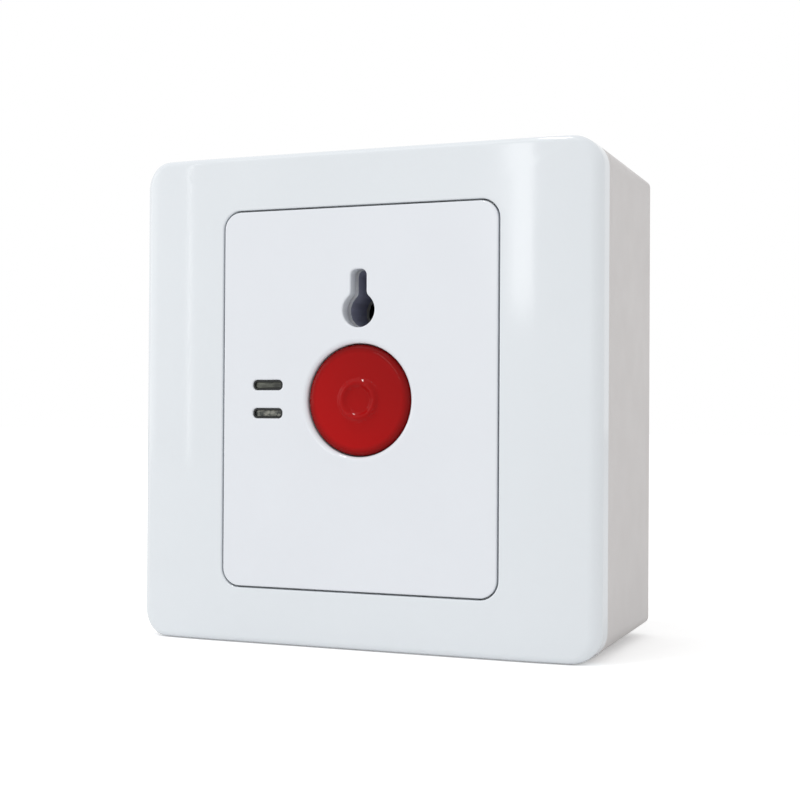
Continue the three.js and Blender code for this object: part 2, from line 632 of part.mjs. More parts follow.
// Front frame: a crowned shell with a collar and a ledge that carry the panel
function makeFrontFrame() {
  const half = PLATE_SIZE / 2;
  const outer = crownedBlock({
    half, corner: PLATE_CORNER, backZ: RIM_Z, frontZ: FRONT_Z,
    sideRound: SIDE_ROUND, endRound: END_ROUND, stationCount: CROWN_STATIONS, steps: EDGE_STEPS,
  });
  const cavity = crownedBlock({
    half: half - PLATE_WALL, corner: PLATE_CORNER - PLATE_WALL, backZ: RIM_Z - OVERCUT,
    frontZ: FRONT_Z - PLATE_WALL, sideRound: END_ROUND / 2, endRound: END_ROUND / 2,
    stationCount: 2, steps: 1,
  });
  const corner = PANEL_CORNER + SEAM;
  const collar = prism(roundedRect(OPENING_WIDTH + 2 * COLLAR_WALL,
    OPENING_HEIGHT + 2 * COLLAR_WALL, corner + COLLAR_WALL), LEDGE_BACK_Z, IN_FRONT_WALL_Z);
  const ribEnd = half - PLATE_WALL + EMBED;
  const ribHalf = FRAME_RIB_THICKNESS / 2;
  const ribZ = LEDGE_BACK_Z - FRAME_RIB_DROP;
  const ribs = CORNERS.flatMap(([a, b]) => [
    block((a * OPENING_WIDTH) / 2, b * FRAME_RIB_Y - ribHalf, ribZ,
      a * ribEnd, b * FRAME_RIB_Y + ribHalf, IN_FRONT_WALL_Z),
    block(a * FRAME_RIB_X - ribHalf, (b * OPENING_HEIGHT) / 2, ribZ,
      a * FRAME_RIB_X + ribHalf, b * ribEnd, IN_FRONT_WALL_Z),
  ]);
  const hooks = CORNERS.map(([a, side]) => snapHook({
    x: a * FRAME_HOOK_X, side, outerY: FRAME_HOOK_Y, topZ: IN_FRONT_WALL_Z,
    edgeZ: BRACKET_BACK_Z - SEAT_GAP, height: FRAME_HOOK_HEIGHT, reach: FRAME_HOOK_REACH,
    width: FRAME_HOOK_WIDTH,
  }));
  const opening = prism(roundedRect(OPENING_WIDTH, OPENING_HEIGHT, corner, 0, 0, CORNER_STEPS),
    PANEL_BACK_Z, FRONT_Z + OVERCUT);
  const throughLedge = prism(roundedRect(OPENING_WIDTH - 2 * LEDGE_WIDTH, 2 * LEDGE_INNER_Y,
    corner - LEDGE_WIDTH), RIM_Z, FRONT_Z + OVERCUT);
  return cut(join([cut(outer, [cavity]), collar, ...ribs, ...hooks]), [opening, throughLedge]);
}

// Panel: carries the button hole, the key slot and the two signal windows
function makeFunctionPanel() {
  const plate = prism(roundedRect(PANEL_WIDTH, PANEL_HEIGHT, PANEL_CORNER, 0, 0, CORNER_STEPS),
    PANEL_BACK_Z, FRONT_Z);
  const hooks = CORNERS.map(([a, side]) => snapHook({
    x: a * PANEL_HOOK_X, side, outerY: PANEL_HOOK_Y, topZ: PANEL_BACK_Z + EMBED,
    edgeZ: LEDGE_BACK_Z - SEAT_GAP, height: PANEL_HOOK_HEIGHT, reach: PANEL_HOOK_REACH,
    width: PANEL_HOOK_WIDTH,
  }));
  const through = (shape) => prism(shape, PANEL_BACK_Z - OVERCUT, FRONT_Z + OVERCUT);
  const windows = SIDES.map((side) => through(roundedRect(WINDOW_WIDTH, WINDOW_HEIGHT,
    WINDOW_CORNER, WINDOW_X, WINDOW_Y + (side * WINDOW_PITCH) / 2)));
  const holeR = BUTTON_R + BUTTON_HOLE_GAP;
  const lipR = holeR + BUTTON_HOLE_ROUND;
  const buttonHole = turned([
    [0, PANEL_BACK_Z - OVERCUT], [holeR, PANEL_BACK_Z - OVERCUT],
    ...arc(lipR, FRONT_Z - BUTTON_HOLE_ROUND, BUTTON_HOLE_ROUND, 180, 90, 3).map((p) => [p.x, p.y]),
    [lipR, FRONT_Z + OVERCUT], [0, FRONT_Z + OVERCUT],
  ], CAP_SEGMENTS).translate([BUTTON_X, BUTTON_Y, 0]);
  return cut(join([plate, ...hooks]),
    [...windows, buttonHole, through(keyhole(BUTTON_X, KEY_Y))]);
}

// Mounting bracket: screwed to the box posts, and holds the mechanism and the frame's hooks
function makeBracket() {
  const plate = prism(roundedRect(2 * BRACKET_HALF, 2 * BRACKET_HALF, BRACKET_CORNER),
    BRACKET_BACK_Z, BRACKET_FRONT_Z);
  const bossZ = BRACKET_BACK_Z - BRACKET_THICKNESS;
  const pilots = CORNERS.map(([a, b]) => [BUTTON_X + a * EAR_HOLE_X, BUTTON_Y + b * EAR_Y]);
  const bosses = pilots.map(([x, y]) =>
    cylinder(BRACKET_BOSS_R, bossZ, BRACKET_FRONT_Z - EMBED, x, y, SMALL_SEGMENTS));
  const through = (shape) => prism(shape, bossZ - OVERCUT, BRACKET_FRONT_Z + OVERCUT);
  const hookHalf = FRAME_HOOK_WIDTH / 2 + FIT_GAP;
  const hookInner = FRAME_HOOK_Y - HOOK_THICKNESS - HOOK_BEND_ROOM;
  return cut(join([plate, ...bosses]), [
    through(roundedRect(CASE_WIDTH + 2 * FIT_GAP, CASE_HEIGHT + 2 * FIT_GAP, CASE_CORNER,
      BUTTON_X, BUTTON_Y)),
    ...SIDES.map((side) => through(roundedRect(EAR_SLOT_LENGTH,
      2 * (MOUNT_SCREW_R + EAR_SLOT_GAP), MOUNT_SCREW_R, (side * SCREW_SPACING) / 2, 0))),
    ...CORNERS.map(([a, side]) => through(rectangle(
      a * FRAME_HOOK_X - hookHalf, side * hookInner,
      a * FRAME_HOOK_X + hookHalf, side * (FRAME_HOOK_Y + SEAT_GAP)))),
    ...pilots.map(([x, y]) => through(circle(CASE_SCREW_R + PILOT_GAP, x, y, SMALL_SEGMENTS))),
  ]);
}

// Mechanism case: open at the back, with the button's bore and the key's tube
function makeCase() {
  const bosses = CORNERS.map(([a, b]) => cylinder(BOSS_R, CASE_BACK_Z - 2 * OVERCUT,
    CASE_CEILING_Z + OVERCUT, a * BOSS_X, b * BOSS_Y, SMALL_SEGMENTS));
  const cavity = cut(prism(roundedRect(2 * CASE_INNER_X, 2 * CASE_INNER_Y,
    CASE_CORNER - CASE_WALL / 2), CASE_BACK_Z - OVERCUT, CASE_CEILING_Z), bosses);
  const shell = prism(roundedRect(CASE_WIDTH, CASE_HEIGHT, CASE_CORNER), CASE_BACK_Z, CASE_FRONT_Z)
    .subtract(cavity);
  const earTopZ = BRACKET_FRONT_Z + EAR_THICKNESS;
  const ears = CORNERS.map(([a, b]) => block(
    a * (CASE_WIDTH / 2 - EMBED), b * EAR_Y - EAR_WIDTH / 2, BRACKET_FRONT_Z,
    a * (CASE_WIDTH / 2 + EAR_REACH), b * EAR_Y + EAR_WIDTH / 2, earTopZ));
  const ribX = CASE_INNER_X - HOLD_RIB_INSET;
  const holdRibs = SIDES.map((side) => block(
    side * ribX - HOLD_RIB_THICKNESS / 2, GUIDE_BOTTOM_Y + HOLD_RIB_INSET, GUIDE_TOP_Z,
    side * ribX + HOLD_RIB_THICKNESS / 2, GUIDE_SHOULDER_Y - HOLD_RIB_INSET, IN_CEILING_Z));
  const tube = prism(keyhole(0, KEY_OFFSET_Y, KEY_TUBE_WALL), GUIDE_TOP_Z + SEAT_GAP, IN_CEILING_Z);
  const pilots = CORNERS.map(([a, b]) => cylinder(BASE_SCREW_R + PILOT_GAP, CASE_BACK_Z - OVERCUT,
    CASE_BACK_Z + BOSS_BORE_DEPTH, a * BOSS_X, b * BOSS_Y, SMALL_SEGMENTS));
  const earHoles = CORNERS.map(([a, b]) => cylinder(CASE_SCREW_R + SCREW_HOLE_GAP,
    BRACKET_FRONT_Z - OVERCUT, earTopZ + OVERCUT, a * EAR_HOLE_X, b * EAR_Y, SMALL_SEGMENTS));
  const pocketHalf = BOARD_WIDTH / 2 + BOARD_GAP;
  const pocket = block(BOARD_X - pocketHalf, BOARD_BOTTOM_Y - BOARD_GAP, BOARD_Z,
    BOARD_X + pocketHalf, BOARD_TOP_Y + BOARD_GAP, CASE_FRONT_Z + OVERCUT);
  const leadHoles = LEADS.map(({ x, y }) => cylinder(LEAD_R + SEAT_GAP,
    CASE_CEILING_Z - OVERCUT, CASE_FRONT_Z, x, y, SMALL_SEGMENTS));
  const bore = cylinder(BUTTON_R + BUTTON_HOLE_GAP, CASE_CEILING_Z - OVERCUT,
    CASE_FRONT_Z + OVERCUT, 0, 0, CAP_SEGMENTS);
  const keyWay = prism(keyhole(0, KEY_OFFSET_Y, SLIDE_GAP), GUIDE_TOP_Z, CASE_FRONT_Z + OVERCUT);
  return cut(join([shell, ...ears, ...holdRibs, tube]),
    [...pilots, ...earHoles, pocket, ...leadHoles, bore, keyWay]);
}

// Contact base: closes the case, guides the plunger and carries contacts and terminals
function makeContactBase() {
  const inPlate = CASE_BACK_Z - EMBED;
  const plate = prism(roundedRect(CASE_WIDTH, CASE_HEIGHT, CASE_CORNER), BASE_BACK_Z, CASE_BACK_Z);
  const blockHalf = (TERMINAL_COUNT * TERMINAL_PITCH) / 2 + TERMINAL_END_WALL;
  const terminals = block(-blockHalf, TERMINAL_BOTTOM_Y, TERMINAL_BACK_Z,
    blockHalf, TERMINAL_TOP_Y, BASE_BACK_Z + EMBED);
  const pegs = LATCH_PEGS.flatMap((p) => [
    cylinder(PEG_SHOULDER_R, inPlate, LATCH_Z - SLIDE_GAP, p.x, p.y),
    cylinder(PEG_R, inPlate, GUIDE_Z, p.x, p.y),
  ]);
  const posts = PLAIN_POSTS.map((p) => cylinder(PLAIN_POST_R, inPlate, GUIDE_Z, p.x, p.y));
  const sleeve = cylinder(SLEEVE_R, inPlate, CASE_BACK_Z + SLEEVE_HEIGHT);
  const [rimX, rimY] = [CASE_INNER_X - SEAT_GAP, CASE_INNER_Y - SEAT_GAP];
  const [alongX, alongY] = [BOSS_X - BASE_RIM_SETBACK, BOSS_Y - BASE_RIM_SETBACK];
  const rimTopZ = CASE_BACK_Z + BASE_RIM_HEIGHT;
  const rims = SIDES.flatMap((side) => [
    block(side * rimX, -alongY, inPlate, side * (rimX - BASE_RIM_THICKNESS), alongY, rimTopZ),
    block(-alongX, side * rimY, inPlate, alongX, side * (rimY - BASE_RIM_THICKNESS), rimTopZ),
  ]);
  const legHalfX = STRIP_WIDTH / 2 + STRIP_SLOT_GAP;
  const legHalfY = STRIP_THICKNESS / 2 + STRIP_SLOT_GAP;
  const cuts = TERMINAL_XS.flatMap((x) => [
    block(x - CHAMBER_WIDTH / 2, TERMINAL_BOTTOM_Y - OVERCUT, CHAMBER_Z,
      x + CHAMBER_WIDTH / 2, STRIP_LEG_Y + CHAMBER_BACK, CHAMBER_TOP_Z),
    block(x - legHalfX, STRIP_LEG_Y - legHalfY, CHAMBER_TOP_Z - EMBED,
      x + legHalfX, STRIP_LEG_Y + legHalfY, CASE_BACK_Z + OVERCUT),
    cylinder(TERMINAL_SCREW_R + SCREW_HOLE_GAP, TERMINAL_BACK_Z - OVERCUT, CHAMBER_Z + EMBED,
      x, TERMINAL_SCREW_Y, SMALL_SEGMENTS),
  ]);
  const screwHoles = CORNERS.map(([a, b]) => cylinder(BASE_SCREW_R + SCREW_HOLE_GAP,
    BASE_BACK_Z - OVERCUT, CASE_BACK_Z + OVERCUT, a * BOSS_X, b * BOSS_Y, SMALL_SEGMENTS));
  const plungerHole = cylinder(SPIGOT_R + SLIDE_GAP, BASE_BACK_Z - OVERCUT,
    CASE_BACK_Z + SLEEVE_HEIGHT + OVERCUT);
  return cut(join([plate, terminals, ...pegs, ...posts, sleeve, ...rims]),
    [...cuts, ...screwHoles, plungerHole]);
}

// Guide plate: seats the return spring and holds the latch down on its pegs
function makeGuidePlate() {
  const notchX = BOSS_X - BOSS_R - FIT_GAP;
  const top = CASE_INNER_Y - GUIDE_EDGE_GAP;
  const outline = polygon([
    [-GUIDE_X, GUIDE_BOTTOM_Y], [GUIDE_X, GUIDE_BOTTOM_Y], [GUIDE_X, GUIDE_SHOULDER_Y],
    [notchX, GUIDE_SHOULDER_Y], [notchX, top], [-notchX, top], [-notchX, GUIDE_SHOULDER_Y],
    [-GUIDE_X, GUIDE_SHOULDER_Y],
  ]);
  const through = (shape) => prism(shape, GUIDE_Z - OVERCUT, GUIDE_TOP_Z + OVERCUT);
  const springHalf = LATCH_SPRING_R + LATCH_WIRE_R + FIT_GAP;
  return cut(prism(outline, GUIDE_Z, GUIDE_TOP_Z), [
    through(circle(HEAD_R + GUIDE_EDGE_GAP)),
    through(keyhole(0, KEY_OFFSET_Y, SEAT_GAP)),
    through(rectangle(LATCH_RIGHT_X - FIT_GAP, -springHalf, GUIDE_X + OVERCUT, springHalf)),
  ]);
}

// Button cap: a turned shape with a raised ring, a rounded rim and a retaining flange
function makeButtonCap() {
  const ring = Array.from({ length: 7 }, (_, i) => {
    const u = i / 6;
    const lift = 0.5 - 0.5 * Math.cos(2 * Math.PI * u);
    return [RING_R - RING_WIDTH / 2 + RING_WIDTH * u, CAP_FACE_Z + RING_HEIGHT * lift];
  });
  const rim = arc(0, 0, 1, 90, 0, 4).map((p) => [
    BUTTON_R - BUTTON_RIM_WIDTH * (1 - p.x), CAP_FACE_Z - BUTTON_RIM_DROP * (1 - p.y),
  ]);
  const innerR = BUTTON_R - CAP_SKIRT_WALL;
  const socketR = PLUNGER_R + SLIDE_GAP;
  const bossR = socketR + CAP_SOCKET_WALL;
  const bossZ = FLANGE_TOP_Z + CAP_BOSS_STEP;
  const flangeZ = FLANGE_TOP_Z - FLANGE_THICKNESS;
  return turned([
    [0, CAP_FACE_Z], ...ring, ...rim,
    [BUTTON_R, FLANGE_TOP_Z], [FLANGE_R, FLANGE_TOP_Z], [FLANGE_R, flangeZ], [innerR, flangeZ],
    [innerR, CAP_CEILING_Z], [bossR, CAP_CEILING_Z], [bossR, bossZ], [socketR, bossZ],
    [socketR, CAP_SOCKET_Z], [0, CAP_SOCKET_Z],
  ], CAP_SEGMENTS);
}

// Plunger: its head has the shoulder that the latch holds, its spigot carries the bridge
function makePlunger() {
  const tipZ = CASE_BACK_Z - SPIGOT_TIP;
  const topZ = CAP_SOCKET_Z - SEAT_GAP;
  return turned([
    [0, tipZ], [SPIGOT_R - SPIGOT_TIP, tipZ], [SPIGOT_R, CASE_BACK_Z], [SPIGOT_R, HEAD_Z],
    [HEAD_R - HEAD_CHAMFER, HEAD_Z], [HEAD_R, HEAD_Z + HEAD_CHAMFER], [HEAD_R, HEAD_TOP_Z],
    [PLUNGER_R, HEAD_TOP_Z], [PLUNGER_R, topZ], [0, topZ],
  ]);
}

function makeReturnSpring() {
  const end = SPRING_WIRE_R + SEAT_GAP;
  const length = CAP_CEILING_Z - GUIDE_TOP_Z - 2 * end;
  return coil(SPRING_R, length, SPRING_TURNS, SPRING_WIRE_R).translate([0, 0, GUIDE_TOP_Z + end]);
}

// Latch: a stamped plate round the plunger, with an arm that the key's bit pushes
function makeLatch() {
  const outline = polygon([
    [LATCH_TAIL_X, -LATCH_TAIL_HALF], [LATCH_SHOULDER_X, -LATCH_TAIL_HALF],
    [LATCH_SHOULDER_X, -LATCH_HALF_HEIGHT], [LATCH_RIGHT_X, -LATCH_HALF_HEIGHT],
    [LATCH_RIGHT_X, -LATCH_NIB_HALF], [LATCH_RIGHT_X + LATCH_NIB_LENGTH, -LATCH_NIB_HALF],
    [LATCH_RIGHT_X + LATCH_NIB_LENGTH, LATCH_NIB_HALF], [LATCH_RIGHT_X, LATCH_NIB_HALF],
    [LATCH_RIGHT_X, LATCH_ARM_Y], [LATCH_ARM_X, LATCH_ARM_Y], [LATCH_ARM_X, LATCH_HALF_HEIGHT],
    [LATCH_SHOULDER_X, LATCH_HALF_HEIGHT], [LATCH_SHOULDER_X, LATCH_TAIL_HALF],
    [LATCH_TAIL_X, LATCH_TAIL_HALF],
  ]);
  const through = (shape) => prism(shape, LATCH_Z - OVERCUT, LATCH_TOP_Z + OVERCUT);
  const run = PEG_R + SLIDE_GAP;
  const pegSlots = LATCH_PEGS.map((p) => through(roundedRect(
    2 * run + LATCH_TRAVEL, 2 * run, PEG_R, p.x - LATCH_TRAVEL / 2, p.y)));
  const plungerWindow = through(rectangle(
    -(HEAD_R + 2 * SEAT_GAP + LATCH_TRAVEL), -LATCH_WINDOW_HALF,
    HEAD_R + SEAT_GAP, LATCH_WINDOW_HALF));
  return cut(prism(outline, LATCH_Z, LATCH_TOP_Z), [...pegSlots, plungerWindow]);
}

function makeLatchSpring() {
  const end = LATCH_WIRE_R + LATCH_SPRING_GAP;
  const length = LATCH_SPRING_ROOM - 2 * end;
  return coil(LATCH_SPRING_R, length, LATCH_SPRING_TURNS, LATCH_WIRE_R)
    .rotate([0, 90, 0])
    .translate([LATCH_RIGHT_X + end, 0, LATCH_Z + LATCH_THICKNESS / 2]);
}

const rivet = (x, fromZ, toZ) => cylinder(CONTACT_R, fromZ, toZ, x, 0, SMALL_SEGMENTS);

// Contact bridge: meets the upper contacts at rest and the lower ones when pressed
function makeBridge() {
  const middle = BRIDGE_Z + BRIDGE_THICKNESS / 2;
  const bar = prism(roundedRect(2 * (HIGH_CONTACT_X + BRIDGE_END), BRIDGE_WIDTH, BRIDGE_CORNER),
    BRIDGE_Z, BRIDGE_TOP_Z);
  const eye = cylinder(SPIGOT_R + BRIDGE_EYE_WALL, BRIDGE_Z, BRIDGE_TOP_Z);
  const rivets = SIDES.flatMap((side) => [
    rivet(side * LOW_CONTACT_X, BRIDGE_Z - CONTACT_HEIGHT, middle),
    rivet(side * HIGH_CONTACT_X, middle, BRIDGE_TOP_Z + CONTACT_HEIGHT),
  ]);
  return cut(join([bar, eye, ...rivets]),
    [cylinder(SPIGOT_R + SEAT_GAP, BRIDGE_Z - OVERCUT, BRIDGE_TOP_Z + OVERCUT)]);
}

function makeBridgeClip() {
  const top = BRIDGE_Z - SEAT_GAP;
  return cylinder(CLIP_R, top - CLIP_THICKNESS, top).subtract(
    cylinder(SPIGOT_R + SLIDE_GAP, top - OVERCUT, top + OVERCUT));
}

// A strip bent square, whose middle line runs through the given (y, z) points
function bentStrip(path, x) {
  const [halfX, half] = [STRIP_WIDTH / 2, STRIP_THICKNESS / 2];
  return join(path.slice(1).map(([y1, z1], i) => {
    const [y0, z0] = path[i];
    return block(x - halfX, Math.min(y0, y1) - half, Math.min(z0, z1) - half,
      x + halfX, Math.max(y0, y1) + half, Math.max(z0, z1) + half);
  }));
}

// From inside the case, through the base and into a terminal
function makeTerminalStrip(x, endY, z) {
  const inset = STRIP_THICKNESS / 2;
  const footZ = CHAMBER_TOP_Z - SLIDE_GAP - inset;
  return bentStrip([
    [endY - inset, z], [STRIP_LEG_Y, z], [STRIP_LEG_Y, footZ],
    [TERMINAL_BOTTOM_Y + TERMINAL_INSET + inset, footZ],
  ], x);
}

// Fixed contact: a strip with a rivet that faces the bridge, above or below it
function makeContactStrip(x, z, facing) {
  const tip = z + facing * (STRIP_THICKNESS / 2 + CONTACT_HEIGHT);
  return makeTerminalStrip(x, CONTACT_R + STRIP_END, z).add(rivet(x, z, tip));
}

function makeBoard() {
  const holes = LEADS.map(({ x, y }) => cylinder(LEAD_R + SLIDE_GAP, BOARD_Z - OVERCUT,
    BOARD_TOP_Z + OVERCUT, x, y, SMALL_SEGMENTS));
  return cut(block(BOARD_X - BOARD_WIDTH / 2, BOARD_BOTTOM_Y, BOARD_Z,
    BOARD_X + BOARD_WIDTH / 2, BOARD_TOP_Y, BOARD_TOP_Z), holes);
}

// Light: a square package with a round dish in its face
function makeLight(y) {
  const x = BOARD_X + LIGHT_X;
  const topZ = BOARD_TOP_Z + LIGHT_HEIGHT;
  const body = block(x - LIGHT_WIDTH / 2, y - LIGHT_LENGTH / 2, BOARD_TOP_Z,
    x + LIGHT_WIDTH / 2, y + LIGHT_LENGTH / 2, topZ);
  return body.subtract(cylinder(LIGHT_DISH_R, topZ - LIGHT_DISH_DEPTH, topZ + OVERCUT, x, y));
}

function makeResistor(y) {
  const x = BOARD_X + RESISTOR_X;
  const [halfX, halfY] = [RESISTOR_LENGTH / 2, RESISTOR_WIDTH / 2];
  const topZ = BOARD_TOP_Z + RESISTOR_HEIGHT;
  const body = block(x - halfX, y - halfY, BOARD_TOP_Z, x + halfX, y + halfY, topZ);
  const ends = SIDES.map((side) => block(
    x + side * halfX, y - halfY - RESISTOR_END_RISE, BOARD_TOP_Z,
    x + side * (halfX - RESISTOR_END), y + halfY + RESISTOR_END_RISE, topZ + RESISTOR_END_RISE));
  return join([body, ...ends]);
}

// Lead: down from the signal board, across behind the button and down to a signal contact
function makeLead({ x, y, terminalX }) {
  const at = (px, pz) => new THREE.Vector3(px, y, pz);
  const [high, low] = [LEAD_CROSS_Z + LEAD_BEND, LEAD_CROSS_Z - LEAD_BEND];
  const [fromX, toX] = [x + LEAD_BEND, terminalX - LEAD_BEND];
  const path = new THREE.CurvePath();
  path.add(new THREE.LineCurve3(at(x, BOARD_TOP_Z), at(x, high)));
  path.add(new THREE.QuadraticBezierCurve3(
    at(x, high), at(x, LEAD_CROSS_Z), at(fromX, LEAD_CROSS_Z)));
  path.add(new THREE.LineCurve3(at(fromX, LEAD_CROSS_Z), at(toX, LEAD_CROSS_Z)));
  path.add(new THREE.QuadraticBezierCurve3(
    at(toX, LEAD_CROSS_Z), at(terminalX, LEAD_CROSS_Z), at(terminalX, low)));
  path.add(new THREE.LineCurve3(at(terminalX, low), at(terminalX, LOW_STRIP_TOP_Z)));
  return wireAlong(path, LEAD_R, LEAD_STEPS);
}

// Assembly
const station = new THREE.Group();
const mechanism = new THREE.Group();
mechanism.position.set(BUTTON_X, BUTTON_Y, 0);
station.add(mechanism);

function addPiece(parent, name, solid, material) {
  const mesh = new THREE.Mesh(toGeometry(solid), material);
  mesh.name = name;
  parent.add(mesh);
}

addPiece(station, 'back_box', makeBackBox(), BOX_WHITE);
addPiece(station, 'front_frame', makeFrontFrame(), GLOSS_WHITE);
addPiece(station, 'function_panel', makeFunctionPanel(), GLOSS_WHITE);
addPiece(station, 'mounting_bracket', makeBracket(), NATURAL_PLASTIC);
addPiece(mechanism, 'mechanism_case', makeCase(), NATURAL_PLASTIC);
addPiece(mechanism, 'contact_base', makeContactBase(), BLACK_PLASTIC);
addPiece(mechanism, 'guide_plate', makeGuidePlate(), NATURAL_PLASTIC);
addPiece(mechanism, 'button_cap', makeButtonCap(), RED_PLASTIC);
addPiece(mechanism, 'plunger', makePlunger(), NATURAL_PLASTIC);
addPiece(mechanism, 'return_spring', makeReturnSpring(), STEEL);
addPiece(mechanism, 'latch_plate', makeLatch(), STEEL);
addPiece(mechanism, 'latch_spring', makeLatchSpring(), STEEL);
addPiece(mechanism, 'contact_bridge', makeBridge(), BRASS);
addPiece(mechanism, 'bridge_clip', makeBridgeClip(), STEEL);

const signalEndY = LEADS[0].y + LEAD_R + FIT_GAP;
for (const [side, word] of [[-1, 'left'], [1, 'right']]) {
  addPiece(mechanism, `closing_contact_${word}`,
    makeContactStrip(side * LOW_CONTACT_X, LOW_STRIP_Z, 1), BRASS);
  addPiece(mechanism, `opening_contact_${word}`,
    makeContactStrip(side * HIGH_CONTACT_X, HIGH_STRIP_Z, -1), BRASS);
  addPiece(mechanism, `signal_contact_${word}`,
    makeTerminalStrip(side * TERMINAL_PITCH / 2, signalEndY, LOW_STRIP_Z), BRASS);
}
TERMINAL_XS.forEach((x, i) => addPiece(mechanism, `terminal_screw_${i + 1}`, screw({
  radius: TERMINAL_SCREW_R, length: TERMINAL_SCREW_LENGTH, x, y: TERMINAL_SCREW_Y,
  seatZ: TERMINAL_BACK_Z, direction: -1,
}), STEEL));

addPiece(mechanism, 'signal_board', makeBoard(), BOARD_GREEN);
for (const [side, word] of [[1, 'upper'], [-1, 'lower']]) {
  const y = BOARD_Y + (side * WINDOW_PITCH) / 2;
  addPiece(mechanism, `signal_light_${word}`, makeLight(y), LENS);
  addPiece(mechanism, `resistor_${word}`, makeResistor(y), CERAMIC);
}
const sleeves = [RED_SLEEVE, BLACK_SLEEVE];
LEADS.forEach((lead, i) => addPiece(mechanism, lead.name, makeLead(lead), sleeves[i]));

for (const [a, across] of [[-1, 'left'], [1, 'right']]) {
  addPiece(station, `mounting_screw_${across}`, screw({
    radius: MOUNT_SCREW_R, length: MOUNT_SCREW_LENGTH, x: (a * SCREW_SPACING) / 2, y: 0,
    seatZ: BRACKET_FRONT_Z, cross: true,
  }), STEEL);
  for (const [b, along] of [[-1, 'lower'], [1, 'upper']]) {
    addPiece(mechanism, `case_screw_${along}_${across}`, screw({
      radius: CASE_SCREW_R, length: CASE_SCREW_LENGTH, x: a * EAR_HOLE_X, y: b * EAR_Y,
      seatZ: BRACKET_FRONT_Z + EAR_THICKNESS, cross: true,
    }), STEEL);
    addPiece(mechanism, `base_screw_${along}_${across}`, screw({
      radius: BASE_SCREW_R, length: BASE_SCREW_LENGTH, x: a * BOSS_X, y: b * BOSS_Y,
      seatZ: BASE_BACK_Z, direction: -1, cross: true,
    }), STEEL);
  }
}

const upright = new THREE.Group();
upright.rotation.x = Math.PI / 2;
upright.add(station);

export default upright;
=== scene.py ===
"""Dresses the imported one-button alarm station and sets up its studio picture.

Lengths are metres. An outline is drawn in the plane of the wall, x to the right and z up, and
a height is counted from the wall towards the front, which is -Y.
"""

import math

import bmesh
import bpy
from bpy.props import (
    FloatProperty,
    FloatVectorProperty,
    IntProperty,
    PointerProperty,
)
from mathutils import Color, Matrix, Vector
from mathutils.geometry import tessellate_polygon


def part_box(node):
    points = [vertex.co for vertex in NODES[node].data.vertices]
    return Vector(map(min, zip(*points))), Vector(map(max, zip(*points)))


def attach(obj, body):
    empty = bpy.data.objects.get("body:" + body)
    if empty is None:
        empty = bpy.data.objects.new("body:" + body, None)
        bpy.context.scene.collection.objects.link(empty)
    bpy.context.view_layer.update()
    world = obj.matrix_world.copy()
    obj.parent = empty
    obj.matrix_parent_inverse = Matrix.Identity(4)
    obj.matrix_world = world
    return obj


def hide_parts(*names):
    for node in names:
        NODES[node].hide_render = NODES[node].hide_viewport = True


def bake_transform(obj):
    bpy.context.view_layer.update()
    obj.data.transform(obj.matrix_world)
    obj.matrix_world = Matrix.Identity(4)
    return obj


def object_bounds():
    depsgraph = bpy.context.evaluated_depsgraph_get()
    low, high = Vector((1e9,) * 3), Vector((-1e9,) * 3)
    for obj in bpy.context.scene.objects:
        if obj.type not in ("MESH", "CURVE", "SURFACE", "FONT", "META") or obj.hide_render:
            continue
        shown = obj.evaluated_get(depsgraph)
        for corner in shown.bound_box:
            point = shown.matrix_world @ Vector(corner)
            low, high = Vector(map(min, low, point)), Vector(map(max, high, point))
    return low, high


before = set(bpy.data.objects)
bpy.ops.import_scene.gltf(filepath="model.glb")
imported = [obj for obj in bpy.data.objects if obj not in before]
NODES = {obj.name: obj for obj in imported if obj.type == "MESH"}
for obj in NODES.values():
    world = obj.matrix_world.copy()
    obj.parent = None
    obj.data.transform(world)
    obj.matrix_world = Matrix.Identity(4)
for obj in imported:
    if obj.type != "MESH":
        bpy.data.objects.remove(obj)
CAD_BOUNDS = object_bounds()

bl_info = {
    "name": "Alarm Station",
    "version": (1, 0, 0),
    "blender": (4, 5, 0),
    "location": "View3D > Sidebar > Station",
    "description": "Builds the shown pieces, finishes and studio of a one-button alarm station",
    "category": "Object",
}

MM = 0.001
FRONT = Vector((0.0, -1.0, 0.0))
BACK = Vector((0.0, 1.0, 0.0))
POINT_GRID = 1e-7
FLAT_AREA = 1e-13
CORNER_STEPS = 10
SIDE_STEPS = 28
ROUND_STEPS = 8
FACE_STEPS = 16
BACK_STEPS = 8
BUTTON_FACE_STEPS = 72
BUTTON_RIM_STEPS = 14
HOLE_STEPS = 144
KEY_STEPS = 48
POST_STEPS = 48
DISH_STEPS = 44
DOME_STEPS = 8
SCREW_SIDES = 40

# How far a joined block runs into the wall it stands on
OVERLAP = 0.5 * MM

# The springy hooks that hold frame and panel
HOOK_THICKNESS = 1.4 * MM
HOOK_NOSE = 0.3 * MM
HOOK_GAP = 0.3 * MM
FRAME_HOOK = {"height": 1.2 * MM, "reach": 0.7 * MM, "width": 6 * MM}
PANEL_HOOK = {"height": 0.9 * MM, "reach": 0.9 * MM, "width": 5 * MM}

# A screw head's straight part over its height, and its top's radius over its own
COLLAR_SHARE = 0.55
CROWN_SHARE = 0.8

# The resin lens in a light's dish
DOME_BASE = 0.38 * MM
DOME_BASE_GAP = 0.06 * MM
DOME_FOOT = 0.32 * MM
DOME_GAP = 0.05 * MM
DOME_RISE = 0.2 * MM
DOME_REACH = 0.75 * MM

